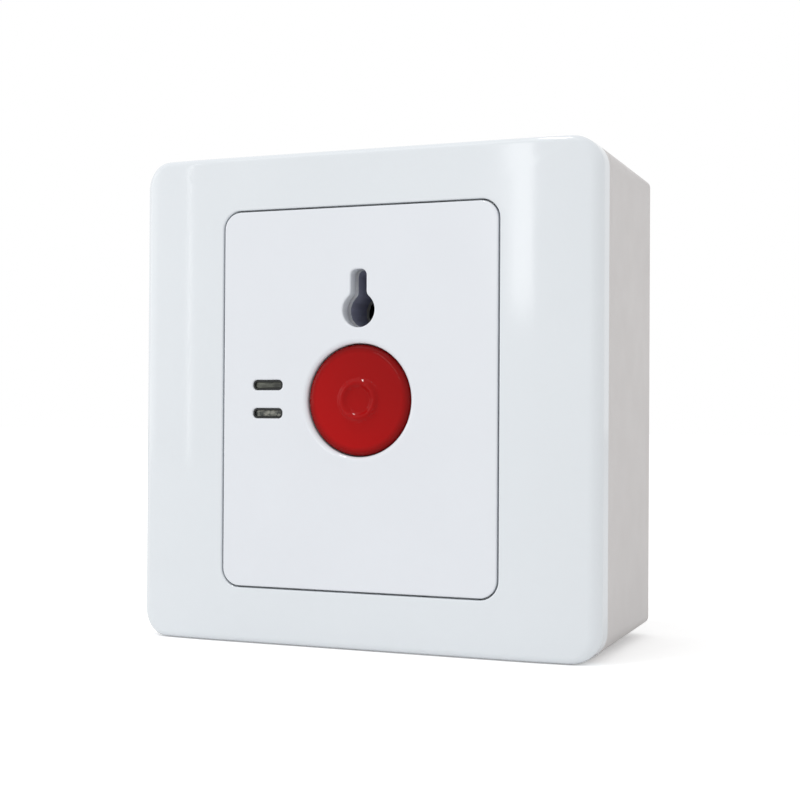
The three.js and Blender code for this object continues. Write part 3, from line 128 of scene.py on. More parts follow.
# Corners and edges of the small pieces behind the windows
LIGHT_CORNER = 0.15 * MM
LIGHT_ROUND = 0.08 * MM
SHADE_ROUND = 0.06 * MM
GUIDE_ROUND = 0.12 * MM
GUIDE_GAP = 0.01 * MM
CHIP_SHORTER = 0.1 * MM
CHIP_CORNER = 0.06 * MM
CHIP_ROUND = 0.05 * MM
CAP_CORNER = 0.08 * MM
CAP_ROUND = 0.07 * MM

SENSOR_WIDTH = 36.0
NEAREST_SHOWN = 0.01

# Softboxes, each by its azimuth, height, distance, size and brightness
SOFTBOXES = {
    "key_softbox": (-66, 0.25, 1.3, (0.9, 0.6), 1.0),
    "top_softbox": (-15, 1.1, 0.8, (1.0, 0.7), 0.7),
    "stripe_softbox": (-14.25, 0.29, 1.19, (0.116, 0.4), 3.2),
    "edge_strip": (-36.9, 0.1, 1.2, (0.012, 0.9), 5.0),
    "glint_lamp": (-30.8, 0.97, 0.281, (0.13, 0.035), 105.0),
}
FLOOR_REACH = 3.0
FLOOR_GAP = 0.1 * MM


class PlateSettings(bpy.types.PropertyGroup):
    """Sizes of the front frame"""

    size: FloatProperty(
        name="Size", description="Width and height of the plate",
        default=86 * MM, min=0.01, precision=5, unit="LENGTH")
    corner: FloatProperty(
        name="Corner", description="Radius of the plate's corners",
        default=5 * MM, min=0.001, precision=5, unit="LENGTH")
    wall: FloatProperty(
        name="Wall", description="Thickness of the plate's walls",
        default=2 * MM, min=0.0005, precision=5, unit="LENGTH")
    rim_depth: FloatProperty(
        name="Rim Depth", description="Depth of the plate from its face to its rim",
        default=5.9 * MM, min=0.001, precision=5, unit="LENGTH")
    crown_width: FloatProperty(
        name="Crown Width", description="Width of the curved part at the left and right",
        default=15 * MM, min=0.001, precision=5, unit="LENGTH")
    crown_drop: FloatProperty(
        name="Crown Drop", description="How far the face falls away at its left and right edge",
        default=1.2 * MM, min=0.0, precision=5, unit="LENGTH")
    side_round: FloatProperty(
        name="Side Round", description="Rounding of the left and right edge",
        default=2 * MM, min=0.0001, precision=5, unit="LENGTH")
    end_round: FloatProperty(
        name="End Round", description="Rounding of the top and bottom edge",
        default=1.1 * MM, min=0.0001, precision=5, unit="LENGTH")
    lip: FloatProperty(
        name="Lip", description="Rounding of the edge round the opening",
        default=0.3 * MM, min=0.0001, precision=5, unit="LENGTH")
    ledge_width: FloatProperty(
        name="Ledge Width", description="Width of the ledge behind the panel",
        default=1.2 * MM, min=0.0001, precision=5, unit="LENGTH")
    ledge_thickness: FloatProperty(
        name="Ledge Thickness", description="Thickness of the ledge behind the panel",
        default=1.3 * MM, min=0.0001, precision=5, unit="LENGTH")
    collar_wall: FloatProperty(
        name="Collar Wall", description="Thickness of the collar round the opening",
        default=1.3 * MM, min=0.0001, precision=5, unit="LENGTH")
    rim_round: FloatProperty(
        name="Rim Round", description="Rounding of the plate's rim at the box",
        default=0.2 * MM, min=0.0001, precision=5, unit="LENGTH")
    inner_round: FloatProperty(
        name="Inner Round", description="Bevel between the plate's back and its walls",
        default=0.55 * MM, min=0.0001, precision=5, unit="LENGTH")
    rib_thickness: FloatProperty(
        name="Rib Thickness", description="Thickness of the ribs behind the face",
        default=1.2 * MM, min=0.0001, precision=5, unit="LENGTH")
    rib_depth: FloatProperty(
        name="Rib Depth", description="How far the ribs reach back past the ledge",
        default=0.5 * MM, min=0.0, precision=5, unit="LENGTH")
    rib_places: FloatVectorProperty(
        name="Rib Places", description="Distance from the middle to the end ribs and side ribs",
        default=(12 * MM, 24 * MM), size=2, precision=5, unit="LENGTH")
    hook_place: FloatProperty(
        name="Hook Place", description="Distance from the middle to the hooks",
        default=18 * MM, min=0.0, precision=5, unit="LENGTH")
    hook_inset: FloatProperty(
        name="Hook Inset", description="Distance from the bracket's edge in to the hooks",
        default=2.05 * MM, min=0.0, precision=5, unit="LENGTH")


class PanelSettings(bpy.types.PropertyGroup):
    """Sizes of the panel and of what is cut into it"""

    corner: FloatProperty(
        name="Corner", description="Radius of the panel's corners",
        default=3.1 * MM, min=0.0005, precision=5, unit="LENGTH")
    seam: FloatProperty(
        name="Seam", description="Gap between the panel and the frame",
        default=0.3 * MM, min=0.0, precision=5, unit="LENGTH")
    thickness: FloatProperty(
        name="Thickness", description="Thickness of the panel",
        default=2.3 * MM, min=0.0005, precision=5, unit="LENGTH")
    hook_place: FloatProperty(
        name="Hook Place", description="Distance from the middle to the hooks",
        default=10 * MM, min=0.0, precision=5, unit="LENGTH")
    edge_round: FloatProperty(
        name="Edge Round", description="Rounding of the panel's edge and of the small openings",
        default=0.3 * MM, min=0.0001, precision=5, unit="LENGTH")
    button_gap: FloatProperty(
        name="Button Gap", description="Gap between the button and its hole",
        default=0.14 * MM, min=0.0, precision=5, unit="LENGTH")
    button_lip: FloatProperty(
        name="Button Lip", description="Rounding of the button hole's edge",
        default=0.8 * MM, min=0.0001, precision=5, unit="LENGTH")
    key_height: FloatProperty(
        name="Key Height", description="Height of the key hole's middle on the panel",
        default=15.3 * MM, precision=5, unit="LENGTH")
    key_bulb: FloatProperty(
        name="Key Bulb", description="Radius of the key hole's round part",
        default=3 * MM, min=0.0005, precision=5, unit="LENGTH")
    key_slot_width: FloatProperty(
        name="Key Slot Width", description="Width of the key slot",
        default=3 * MM, min=0.0005, precision=5, unit="LENGTH")
    key_slot_top: FloatProperty(
        name="Key Slot Top", description="Height of the key slot's end on the panel",
        default=22.3 * MM, precision=5, unit="LENGTH")
    key_fillet: FloatProperty(
        name="Key Fillet", description="Rounding between key hole and key slot",
        default=1.2 * MM, min=0.0001, precision=5, unit="LENGTH")
    key_top_round: FloatProperty(
        name="Key Top Round", description="Rounding of the key slot's end",
        default=1.1 * MM, min=0.0001, precision=5, unit="LENGTH")
    window_x: FloatProperty(
        name="Window Place", description="Middle of the signal windows from the panel's middle",
        default=-17 * MM, precision=5, unit="LENGTH")
    window_z: FloatProperty(
        name="Window Height", description="Middle of the pair of signal windows",
        default=-0.05 * MM, precision=5, unit="LENGTH")
    window_pitch: FloatProperty(
        name="Window Pitch", description="Distance between the two signal windows",
        default=4.95 * MM, min=0.001, precision=5, unit="LENGTH")
    window_size: FloatVectorProperty(
        name="Window Size", description="Width and height of a signal window",
        default=(5.8 * MM, 1.8 * MM), size=2, min=0.0005, precision=5, unit="LENGTH")
    window_corner: FloatProperty(
        name="Window Corner", description="Radius of a signal window's corners",
        default=0.8 * MM, min=0.0001, precision=5, unit="LENGTH")


class ButtonSettings(bpy.types.PropertyGroup):
    """Sizes of the button"""

    radius: FloatProperty(
        name="Radius", description="Radius of the button",
        default=9.6 * MM, min=0.001, precision=5, unit="LENGTH")
    rim_width: FloatProperty(
        name="Rim Width", description="Width of the rounded rim",
        default=1.25 * MM, min=0.0001, precision=5, unit="LENGTH")
    rim_drop: FloatProperty(
        name="Rim Drop", description="How far the rounded rim falls away",
        default=0.9 * MM, min=0.0001, precision=5, unit="LENGTH")
    ring_radius: FloatProperty(
        name="Ring Radius", description="Radius of the raised ring's crest",
        default=3 * MM, min=0.0005, precision=5, unit="LENGTH")
    ring_width: FloatProperty(
        name="Ring Width", description="Width of the raised ring",
        default=2 * MM, min=0.0001, precision=5, unit="LENGTH")
    ring_height: FloatProperty(
        name="Ring Height", description="Height of the raised ring",
        default=0.6 * MM, min=0.0, precision=5, unit="LENGTH")
    wall: FloatProperty(
        name="Wall", description="Thickness of the button's face",
        default=1.5 * MM, min=0.0005, precision=5, unit="LENGTH")
    skirt_wall: FloatProperty(
        name="Skirt Wall", description="Thickness of the button's skirt",
        default=1.6 * MM, min=0.0005, precision=5, unit="LENGTH")
    flange_thickness: FloatProperty(
        name="Flange Thickness", description="Thickness of the flange that holds the button in",
        default=1.25 * MM, min=0.0001, precision=5, unit="LENGTH")
    flange_round: FloatProperty(
        name="Flange Round", description="Bevel on the edges of the flange",
        default=0.2 * MM, min=0.0001, precision=5, unit="LENGTH")
    socket_radii: FloatVectorProperty(
        name="Socket Radii", description="Radius of the plunger's socket and of its bore",
        default=(4.5 * MM, 3.1 * MM), size=2, min=0.0005, precision=5, unit="LENGTH")
    socket_depth: FloatProperty(
        name="Socket Depth", description="Length of the plunger's socket",
        default=3.95 * MM, min=0.0001, precision=5, unit="LENGTH")
    socket_recess: FloatProperty(
        name="Socket Recess", description="How far the bore is sunk into the button's face",
        default=0.4 * MM, min=0.0, precision=5, unit="LENGTH")
    segments: IntProperty(
        name="Segments", description="Number of faces round the button",
        default=144, min=24, max=512)


class BoxSettings(bpy.types.PropertyGroup):
    """Sizes of the surface box"""

    front_size: FloatProperty(
        name="Front Size", description="Width and height of the box at its rim",
        default=85.6 * MM, min=0.01, precision=5, unit="LENGTH")
    back_size: FloatProperty(
        name="Back Size", description="Width and height of the box on the wall",
        default=82.1 * MM, min=0.01, precision=5, unit="LENGTH")
    wall: FloatProperty(
        name="Wall", description="Thickness of the box",
        default=2 * MM, min=0.0005, precision=5, unit="LENGTH")
    front_corner: FloatProperty(
        name="Front Corner", description="Radius of the box's corners at its rim",
        default=4.4 * MM, min=0.0015, precision=5, unit="LENGTH")
    back_corner: FloatProperty(
        name="Back Corner", description="Radius of the box's corners on the wall",
        default=1.4 * MM, min=0.0012, precision=5, unit="LENGTH")
    edge_round: FloatProperty(
        name="Edge Round", description="Rounding of the edge at the wall",
        default=0.8 * MM, min=0.0001, precision=5, unit="LENGTH")
    rim_round: FloatProperty(
        name="Rim Round", description="Rounding of the box's rim",
        default=0.15 * MM, min=0.0001, precision=5, unit="LENGTH")
    hole_round: FloatProperty(
        name="Hole Round", description="Rounding of the edges of holes and slots",
        default=0.25 * MM, min=0.0001, precision=5, unit="LENGTH")
    slot_size: FloatVectorProperty(
        name="Slot Size", description="Width and length of a wall slot",
        default=(4.5 * MM, 9 * MM), size=2, min=0.0005, precision=5, unit="LENGTH")
    slot_places: FloatVectorProperty(
        name="Slot Places", description="Distance of the wall slots to the side and up or down",
        default=(18 * MM, 30 * MM), size=2, precision=5, unit="LENGTH")
    cable_radius: FloatProperty(
        name="Cable Hole", description="Radius of the cable hole",
        default=10 * MM, min=0.001, precision=5, unit="LENGTH")
    cable_z: FloatProperty(
        name="Cable Hole Height", description="Height of the cable hole's middle",
        default=-15 * MM, precision=5, unit="LENGTH")
    post_radius: FloatProperty(
        name="Post Radius", description="Radius of the two screw posts",
        default=4 * MM, min=0.001, precision=5, unit="LENGTH")
    post_bore: FloatProperty(
        name="Post Bore", description="Radius of the bore in a screw post",
        default=2.05 * MM, min=0.0005, precision=5, unit="LENGTH")
    post_bore_depth: FloatProperty(
        name="Post Bore Depth", description="Depth of the bore in a screw post",
        default=22 * MM, min=0.001, precision=5, unit="LENGTH")
    rib_thickness: FloatProperty(
        name="Rib Thickness", description="Thickness of the ribs that brace the posts",
        default=1.6 * MM, min=0.0005, precision=5, unit="LENGTH")
    rib_inset: FloatProperty(
        name="Rib Inset", description="How far the ribs end inside the box's wall",
        default=0.3 * MM, min=0.0, precision=5, unit="LENGTH")
    rib_drop: FloatProperty(
        name="Rib Drop", description="How far the ribs stay below the posts",
        default=2 * MM, min=0.0, precision=5, unit="LENGTH")


class ScrewSettings(bpy.types.PropertyGroup):
    """Proportions of the screws"""

    head_share: FloatProperty(
        name="Head Share", description="Radius of the head over the shank's",
        default=1.8, min=1.0)
    rise_share: FloatProperty(
        name="Rise Share", description="Height of the head over the shank's radius",
        default=1.15, min=0.1)
    recess_width_share: FloatProperty(
        name="Recess Width Share", description="Width of the recess over the head's radius",
        default=0.32, min=0.01)
    recess_depth_share: FloatProperty(
        name="Recess Depth Share", description="Depth of the recess over the head's height",
        default=0.6, min=0.01)
    cross_share: FloatProperty(
        name="Cross Share", description="Length of a cross over the head's radius",
        default=1.2, min=0.01)
    slot_share: FloatProperty(
        name="Slot Share", description="Length of a slot over the head's radius",
        default=2.4, min=0.01)


class SignalSettings(bpy.types.PropertyGroup):
    """Sizes of the signal lights, their guides and the resistors"""

    dish_radius: FloatProperty(
        name="Dish Radius", description="Radius of the dish in a light",
        default=0.85 * MM, min=0.0001, precision=5, unit="LENGTH")
    dish_depth: FloatProperty(
        name="Dish Depth", description="Depth of the dish in a light",
        default=0.4 * MM, min=0.0001, precision=5, unit="LENGTH")
    dish_taper: FloatProperty(
        name="Dish Taper", description="How far the dish narrows to its bottom",
        default=0.15 * MM, min=0.0, precision=5, unit="LENGTH")
    shade_gap: FloatProperty(
        name="Shade Gap", description="Gap between a shade and its window",
        default=0.05 * MM, min=0.0, precision=5, unit="LENGTH")
    shade_wall: FloatProperty(
        name="Shade Wall", description="Thickness of the shade round a guide",
        default=0.28 * MM, min=0.0001, precision=5, unit="LENGTH")
    shade_sunk: FloatProperty(
        name="Shade Sunk", description="How far a shade stays below the panel's face",
        default=0.25 * MM, min=0.0, precision=5, unit="LENGTH")
    guide_sunk: FloatProperty(
        name="Guide Sunk", description="How far a guide stays below the panel's face",
        default=0.6 * MM, min=0.0, precision=5, unit="LENGTH")
    resistor_cap: FloatProperty(
        name="Resistor Cap", description="Length of a resistor's metal ends",
        default=0.5 * MM, min=0.0001, precision=5, unit="LENGTH")
    resistor_rise: FloatProperty(
        name="Resistor Rise", description="How far a resistor's ends stand out from its body",
        default=0.04 * MM, min=0.0, precision=5, unit="LENGTH")


class SpringSettings(bpy.types.PropertyGroup):
    """Sizes of the springs"""

    return_wire: FloatProperty(
        name="Return Wire", description="Radius of the return spring's wire",
        default=0.4 * MM, min=0.00005, precision=5, unit="LENGTH")
    latch_wire: FloatProperty(
        name="Latch Wire", description="Radius of the latch spring's wire",
        default=0.3 * MM, min=0.00005, precision=5, unit="LENGTH")
    turns: FloatProperty(
        name="Turns", description="Number of turns in each spring", default=5.0, min=1.0)


class FinishSettings(bpy.types.PropertyGroup):
    """Colours of the finishes, as they show in plain light"""

    panel: FloatVectorProperty(
        name="Panel", description="Colour of the panel", subtype="COLOR_GAMMA",
        default=(0.884, 0.897, 0.917), size=3, min=0.0, max=1.0)
    plate: FloatVectorProperty(
        name="Frame", description="Colour of the front frame", subtype="COLOR_GAMMA",
        default=(0.874, 0.892, 0.908), size=3, min=0.0, max=1.0)
    box: FloatVectorProperty(
        name="Box", description="Colour of the surface box", subtype="COLOR_GAMMA",
        default=(0.800, 0.786, 0.782), size=3, min=0.0, max=1.0)
    button: FloatVectorProperty(
        name="Button", description="Colour of the button", subtype="COLOR_GAMMA",
        default=(0.620, 0.052, 0.056), size=3, min=0.0, max=1.0)
    natural: FloatVectorProperty(
        name="Natural Plastic", description="Colour of the undyed plastic inside",
        subtype="COLOR_GAMMA", default=(0.830, 0.828, 0.795), size=3, min=0.0, max=1.0)
    case: FloatVectorProperty(
        name="Mechanism Case", description="Colour of the mechanism case",
        subtype="COLOR_GAMMA", default=(0.660, 0.670, 0.750), size=3, min=0.0, max=1.0)
    base: FloatVectorProperty(
        name="Contact Base", description="Colour of the contact base", subtype="COLOR_GAMMA",
        default=(0.110, 0.110, 0.118), size=3, min=0.0, max=1.0)
    board: FloatVectorProperty(
        name="Signal Board", description="Colour of the signal board", subtype="COLOR_GAMMA",
        default=(0.250, 0.270, 0.200), size=3, min=0.0, max=1.0)


class StudioSettings(bpy.types.PropertyGroup):
    """Camera and light"""

    azimuth: FloatProperty(
        name="Azimuth", description="How far the camera stands to the right of the front",
        default=math.radians(23.009), subtype="ANGLE")
    elevation: FloatProperty(
        name="Elevation", description="How far the camera stands above the object",
        default=math.radians(-0.5416), subtype="ANGLE")
    roll: FloatProperty(
        name="Roll", description="How far the camera is turned about its own axis",
        default=math.radians(0.3347), subtype="ANGLE")
    distance: FloatProperty(
        name="Distance", description="Distance from the camera to what it looks at",
        default=260.628 * MM, min=0.05, precision=5, unit="LENGTH")
    target: FloatVectorProperty(
        name="Target", description="Point that the camera looks at",
        default=(8.314 * MM, -41.8 * MM, -0.168 * MM), size=3, precision=5, subtype="XYZ",
        unit="LENGTH")
    lens: FloatProperty(
        name="Lens", description="Focal length in millimetres on a 36 mm sensor",
        default=69.367, min=10.0, max=300.0)
    surround: FloatProperty(
        name="Surround", description="Strength of the even light from all round",
        default=0.805, min=0.0, max=2.0)


class StationSettings(bpy.types.PropertyGroup):
    """All settings of the alarm station"""

    plate: PointerProperty(type=PlateSettings)
    panel: PointerProperty(type=PanelSettings)
    button: PointerProperty(type=ButtonSettings)
    box: PointerProperty(type=BoxSettings)
    screws: PointerProperty(type=ScrewSettings)
    springs: PointerProperty(type=SpringSettings)
    signals: PointerProperty(type=SignalSettings)
    finishes: PointerProperty(type=FinishSettings)
    studio: PointerProperty(type=StudioSettings)


class Skin:
    """A surface in the making: shared points, and faces with a normal at every corner"""

    def __init__(self):
        self.numbers = {}
        self.points = []
        self.faces = []
        self.normals = []

    def number(self, place):
        key = tuple(round(c / POINT_GRID) for c in place)
        if key not in self.numbers:
            self.numbers[key] = len(self.points)
            self.points.append(place)
        return self.numbers[key]

    def face(self, corners):
        """Adds a face of (place, normal) corners, turned to face as its normals do."""
        kept = {}
        for place, normal in corners:
            kept.setdefault(self.number(place), normal)
        if len(kept) < 3:
            return
        numbers = list(kept)
        places = [self.points[n] for n in numbers]
        facing = sum((
            (b - places[0]).cross(c - places[0]) for b, c in zip(places[1:], places[2:])
        ), Vector())
        if facing.dot(sum(kept.values(), Vector())) < -FLAT_AREA:
            numbers.reverse()
        self.faces.append(numbers)
        self.normals.extend(kept[n] for n in numbers)

    def wrap(self, rings):
        """Joins closed rows of points by one smooth surface.

        Rows run anticlockwise seen from the front. The surface faces outwards where the rows
        go from the back to the front, and forwards where they go from the edge inwards.
        """
        count = len(rings[0])
        rows = []
        for r, ring in enumerate(rings):
            before, after = rings[max(r - 1, 0)], rings[min(r + 1, len(rings) - 1)]
            rows.append([
                (ring[i], (ring[(i + 1) % count] - ring[i - 1])
                    .cross(after[i] - before[i]).normalized())
                for i in range(count)
            ])
        for low, high in zip(rows, rows[1:]):
            for i in range(count):
                j = (i + 1) % count
                self.face([low[i], low[j], high[j], high[i]])

    def fill(self, loops, normal):
        """Closes a flat area between an outer loop and the loops of its holes."""
        places = [place for loop in loops for place in loop]
        triangles = [[places[i] for i in triangle] for triangle in tessellate_polygon(loops)]
        facing = sum(((b - a).cross(c - a) for a, b, c in triangles), Vector()).dot(normal)
        for triangle in triangles:
            corners = triangle if facing > 0 else triangle[::-1]
            self.face([(place, normal) for place in corners])

    def block(self, profile, along):
        """Adds a closed prism: a flat profile of points, drawn out by a vector."""
        far = [place + along for place in profile]
        ends = along.normalized()
        self.fill([profile], -ends)
        self.fill([far], ends)
        outwards = -1 if newell(profile).dot(along) < 0 else 1
        for i, place in enumerate(profile):
            previous = profile[i - 1]
            normal = outwards * (place - previous).cross(along).normalized()
            self.face([(p, normal) for p in (previous, place, far[i], far[i - 1])])

    def piece(self, name, material):
        mesh = bpy.data.meshes.new(name)
        mesh.from_pydata(self.points, [], self.faces)
        mesh.shade_smooth()
        mesh.normals_split_custom_set(self.normals)
        return make_piece(name, mesh, material)


def newell(profile):
    """The vector that a flat profile's points turn about."""
    return sum((a.cross(b) for a, b in zip(profile, profile[1:] + profile[:1])), Vector())


def make_piece(name, mesh, material):
    """A new object for a mesh, with its finish."""
    mesh.materials.clear()
    mesh.materials.append(material)
    piece = bpy.data.objects.new(name, mesh)
    bpy.context.scene.collection.objects.link(piece)
    return piece


def settle(piece, body, slot, *nodes):
    """Lets a piece ride on its body in place of the CAD nodes it stands for."""
    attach(piece, body)
    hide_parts(*nodes)


def with_normals(points):
    """Points of a closed anticlockwise outline, each with its outward direction."""
    outline = []
    for i, (x, z) in enumerate(points):
        before, after = points[i - 1], points[(i + 1) % len(points)]
        away = Vector((after[1] - before[1], before[0] - after[0])).normalized()
        outline.append((x, z, away.x, away.y))
    return outline


def arc(x, z, radius, start, end, steps=CORNER_STEPS):
    """Points of an arc between two angles in degrees."""
    angles = [math.radians(start + (end - start) * i / steps) for i in range(steps + 1)]
    return [(x + radius * math.cos(a), z + radius * math.sin(a)) for a in angles]


def rounded(width, height, corner, x=0.0, z=0.0, side_steps=1, corner_steps=CORNER_STEPS):
    """Outline of a rounded rectangle, each point with its outward direction."""
    outline = []
    half_width, half_height = width / 2 - corner, height / 2 - corner
    for turn, (across, up) in enumerate([(1, 1), (-1, 1), (-1, -1), (1, -1)]):
        for i in range(corner_steps + 1):
            angle = math.radians(90 * (turn + i / corner_steps))
            nx, nz = math.cos(angle), math.sin(angle)
            outline.append((
                x + across * half_width + corner * nx, z + up * half_height + corner * nz, nx, nz,
            ))
        run = 2 * (half_width if turn % 2 == 0 else half_height)
        end_x, end_z, nx, nz = outline[-1]
        for i in range(1, side_steps):
            moved = run * i / side_steps
            outline.append((end_x - moved * nz, end_z + moved * nx, nx, nz))
    return outline


def round_outline(radius, x=0.0, z=0.0, steps=96):
    """Outline of a circle, each point with its outward direction."""
    turns = [2 * math.pi * i / steps for i in range(steps)]
    return [(x + radius * math.cos(a), z + radius * math.sin(a), math.cos(a), math.sin(a))
            for a in turns]


def keyhole(panel, x):
    """Outline of the key hole and of the slot above it, blended by two fillets."""
    z, bulb, fillet = panel.key_height, panel.key_bulb, panel.key_fillet
    half, top = panel.key_slot_width / 2, panel.key_top_round
    rise = math.sqrt((bulb + fillet) ** 2 - (half + fillet) ** 2)
    tangent = math.degrees(math.atan2(rise, half + fillet))
    end = panel.key_slot_top - top
    return with_normals([
        *arc(x + half - top, end, top, 0, 90),
        *arc(x - half + top, end, top, 90, 180),
        *arc(x - half - fillet, z + rise, fillet, 0, -tangent),
        *arc(x, z, bulb, 180 - tangent, 360 + tangent, KEY_STEPS)[1:-1],
        *arc(x + half + fillet, z + rise, fillet, 180 + tangent, 180),
    ])


def ring(outline, height, inset=0.0):
    """An outline's points, moved inwards and lifted to a height above the wall."""
    return [Vector((x - inset * nx, -height, z - inset * nz)) for x, z, nx, nz in outline]


def edge(outline, height, radius, rising=True, outward=False):
    """Rings of a quarter round: rising runs from the side onto the face at that height."""
    rings = []
    for i in range(ROUND_STEPS + 1):
        angle = math.pi / 2 * i / ROUND_STEPS
        inset = radius * (1 - math.cos(angle)) * (-1 if outward else 1)
        rings.append(ring(outline, height - radius * (1 - math.sin(angle)), inset))
    return rings if rising else rings[::-1]


def foot(outline, height, radius, outward=False):
    """Rings of a quarter round from a flat underside at that height up onto the side."""
    rings = []
    for i in range(ROUND_STEPS + 1):
        angle = math.pi / 2 * i / ROUND_STEPS
        inset = radius * (1 - math.sin(angle)) * (-1 if outward else 1)
        rings.append(ring(outline, height + radius * (1 - math.cos(angle)), inset))
    return rings


def blend_rings(first, last, steps, settle_point):
    """Rings between two rings, each point settled onto the surface."""
    return [
        [settle_point(a.lerp(b, i / steps)) for a, b in zip(first, last)]
        for i in range(1, steps)
    ]


def hook(skin, x, side, outer, top, edge_height, height, reach, width):
    """A springy finger that hangs behind a face and hooks outwards under an edge."""
    inner, tip, nose = outer - HOOK_THICKNESS, outer + reach, edge_height - HOOK_NOSE
    profile = [
        (inner, top), (inner, edge_height - height), (outer, edge_height - height),
        (tip, nose), (tip, edge_height), (outer, edge_height), (outer, top),
    ]
    skin.block([Vector((x - width / 2, -h, side * z)) for z, h in profile],
               Vector((width, 0, 0)))


def add_node(tree, kind, inputs=None, **options):
    """A node with its options set, and its inputs linked or given values."""
    node = tree.nodes.new(kind)
    for name, value in options.items():
        setattr(node, name, value)
    for name, value in (inputs or {}).items():
        if isinstance(value, bpy.types.NodeSocket):
            tree.links.new(value, node.inputs[name])
        else:
            node.inputs[name].default_value = value
    return node


def calculate(tree, operation, *values):
    """The result of a math node."""
    node = add_node(tree, "ShaderNodeMath", dict(enumerate(values)), operation=operation)
    return node.outputs[0]


def new_tree(name, sizes):
    """A geometry node tree with its inputs; sizes give a name and socket type for each."""
    tree = bpy.data.node_groups.new(name, "GeometryNodeTree")
    tree.interface.new_socket("Geometry", in_out="INPUT", socket_type="NodeSocketGeometry")
    for size, kind in sizes:
        tree.interface.new_socket(size, in_out="INPUT", socket_type=kind)
    tree.interface.new_socket("Geometry", in_out="OUTPUT", socket_type="NodeSocketGeometry")
    return tree, tree.nodes.new("NodeGroupInput").outputs


def end_tree(tree, geometry, material):
    """Ends a tree in realized geometry with its material."""
    realized = add_node(tree, "GeometryNodeRealizeInstances", {"Geometry": geometry})
    finished = add_node(tree, "GeometryNodeSetMaterial",
                        {"Geometry": realized.outputs[0], "Material": material})
    output = tree.nodes.new("NodeGroupOutput")
    tree.links.new(finished.outputs[0], output.inputs[0])


def grow(name, mesh, tree, values, material, sharp=35):
    """The plain mesh that a tree makes from a mesh and its named values, as a new piece."""
    seed = bpy.data.objects.new(name, mesh)
    bpy.context.scene.collection.objects.link(seed)
    modifier = seed.modifiers.new("Grow", "NODES")
    modifier.node_group = tree
    for item in tree.interface.items_tree:
        if item.in_out == "INPUT" and item.name in values:
            modifier[item.identifier] = values[item.name]
    bpy.context.view_layer.update()
    depsgraph = bpy.context.evaluated_depsgraph_get()
    grown = bpy.data.meshes.new_from_object(seed.evaluated_get(depsgraph))
    bpy.data.objects.remove(seed)
    if not grown.polygons:
        raise RuntimeError(f"{name} came out empty")
    form = bmesh.new()
    form.from_mesh(grown)
    bmesh.ops.remove_doubles(form, verts=form.verts, dist=0.5 * POINT_GRID)
    bmesh.ops.recalc_face_normals(form, faces=form.faces)
    form.to_mesh(grown)
    form.free()
    grown.shade_smooth()
    grown.set_sharp_from_angle(angle=math.radians(sharp))
    grown.name = name
    return make_piece(name, grown, material)


def turned_tree():
    """Turns a profile about an axis, and raises a ring on its face."""
    tree, given = new_tree("Turned Button", [
        ("Axis", "NodeSocketVector"), ("Segments", "NodeSocketInt"),
        ("Face Height", "NodeSocketFloat"), ("Ring Radius", "NodeSocketFloat"),
        ("Ring Width", "NodeSocketFloat"), ("Ring Height", "NodeSocketFloat"),
        ("Material", "NodeSocketMaterial"),
    ])
    count = add_node(tree, "GeometryNodeAttributeDomainSize",
                     {"Geometry": given["Geometry"]}).outputs["Point Count"]
    last = calculate(tree, "SUBTRACT", count, 1.0)
    grid = add_node(tree, "GeometryNodeMeshGrid", {
        "Size X": last, "Size Y": given["Segments"], "Vertices X": count,
        "Vertices Y": calculate(tree, "ADD", given["Segments"], 1.0),
    })
    place = add_node(tree, "ShaderNodeSeparateXYZ",
                     {0: add_node(tree, "GeometryNodeInputPosition").outputs[0]}).outputs
    row = calculate(tree, "ADD", place["X"], calculate(tree, "MULTIPLY_ADD", last, 0.5, 0.5))
    sample = add_node(tree, "GeometryNodeSampleIndex", {"Geometry": given["Geometry"]},
                      data_type="FLOAT_VECTOR", domain="POINT")
    tree.links.new(add_node(tree, "GeometryNodeInputPosition").outputs[0],
                   sample.inputs["Value"])
    tree.links.new(row, sample.inputs["Index"])
    profile = add_node(tree, "ShaderNodeSeparateXYZ", {0: sample.outputs[0]}).outputs
    share = calculate(tree, "DIVIDE", place["Y"], given["Segments"])
    angle = calculate(tree, "MULTIPLY", share, 2 * math.pi)
    off_crest = calculate(tree, "ABSOLUTE", calculate(
        tree, "SUBTRACT", profile["X"], given["Ring Radius"]))
    half_width = calculate(tree, "MULTIPLY", given["Ring Width"], 0.5)
    reach = calculate(tree, "MINIMUM", calculate(tree, "DIVIDE", off_crest, half_width), 1.0)
    wave = calculate(tree, "COSINE", calculate(tree, "MULTIPLY", reach, math.pi))
    lift = calculate(tree, "MULTIPLY", calculate(tree, "MULTIPLY_ADD", wave, 0.5, 0.5),
                     given["Ring Height"])
    on_face = calculate(tree, "GREATER_THAN", profile["Z"],
                        calculate(tree, "SUBTRACT", given["Face Height"], 0.01 * MM))
    height = calculate(tree, "ADD", profile["Z"], calculate(tree, "MULTIPLY", lift, on_face))
    axis = add_node(tree, "ShaderNodeSeparateXYZ", {0: given["Axis"]}).outputs
    turned = add_node(tree, "ShaderNodeCombineXYZ", {
        "X": calculate(tree, "MULTIPLY_ADD", profile["X"],
                       calculate(tree, "COSINE", angle), axis["X"]),
        "Y": calculate(tree, "MULTIPLY", height, -1.0),
        "Z": calculate(tree, "MULTIPLY_ADD", profile["X"],
                       calculate(tree, "SINE", angle), axis["Z"]),
    })
    placed = add_node(tree, "GeometryNodeSetPosition",
                      {"Geometry": grid.outputs["Mesh"], "Position": turned.outputs[0]})
    closed = add_node(tree, "GeometryNodeMergeByDistance",
                      {"Geometry": placed.outputs[0], "Distance": 0.001 * MM})
    end_tree(tree, closed.outputs[0], given["Material"])
    return tree


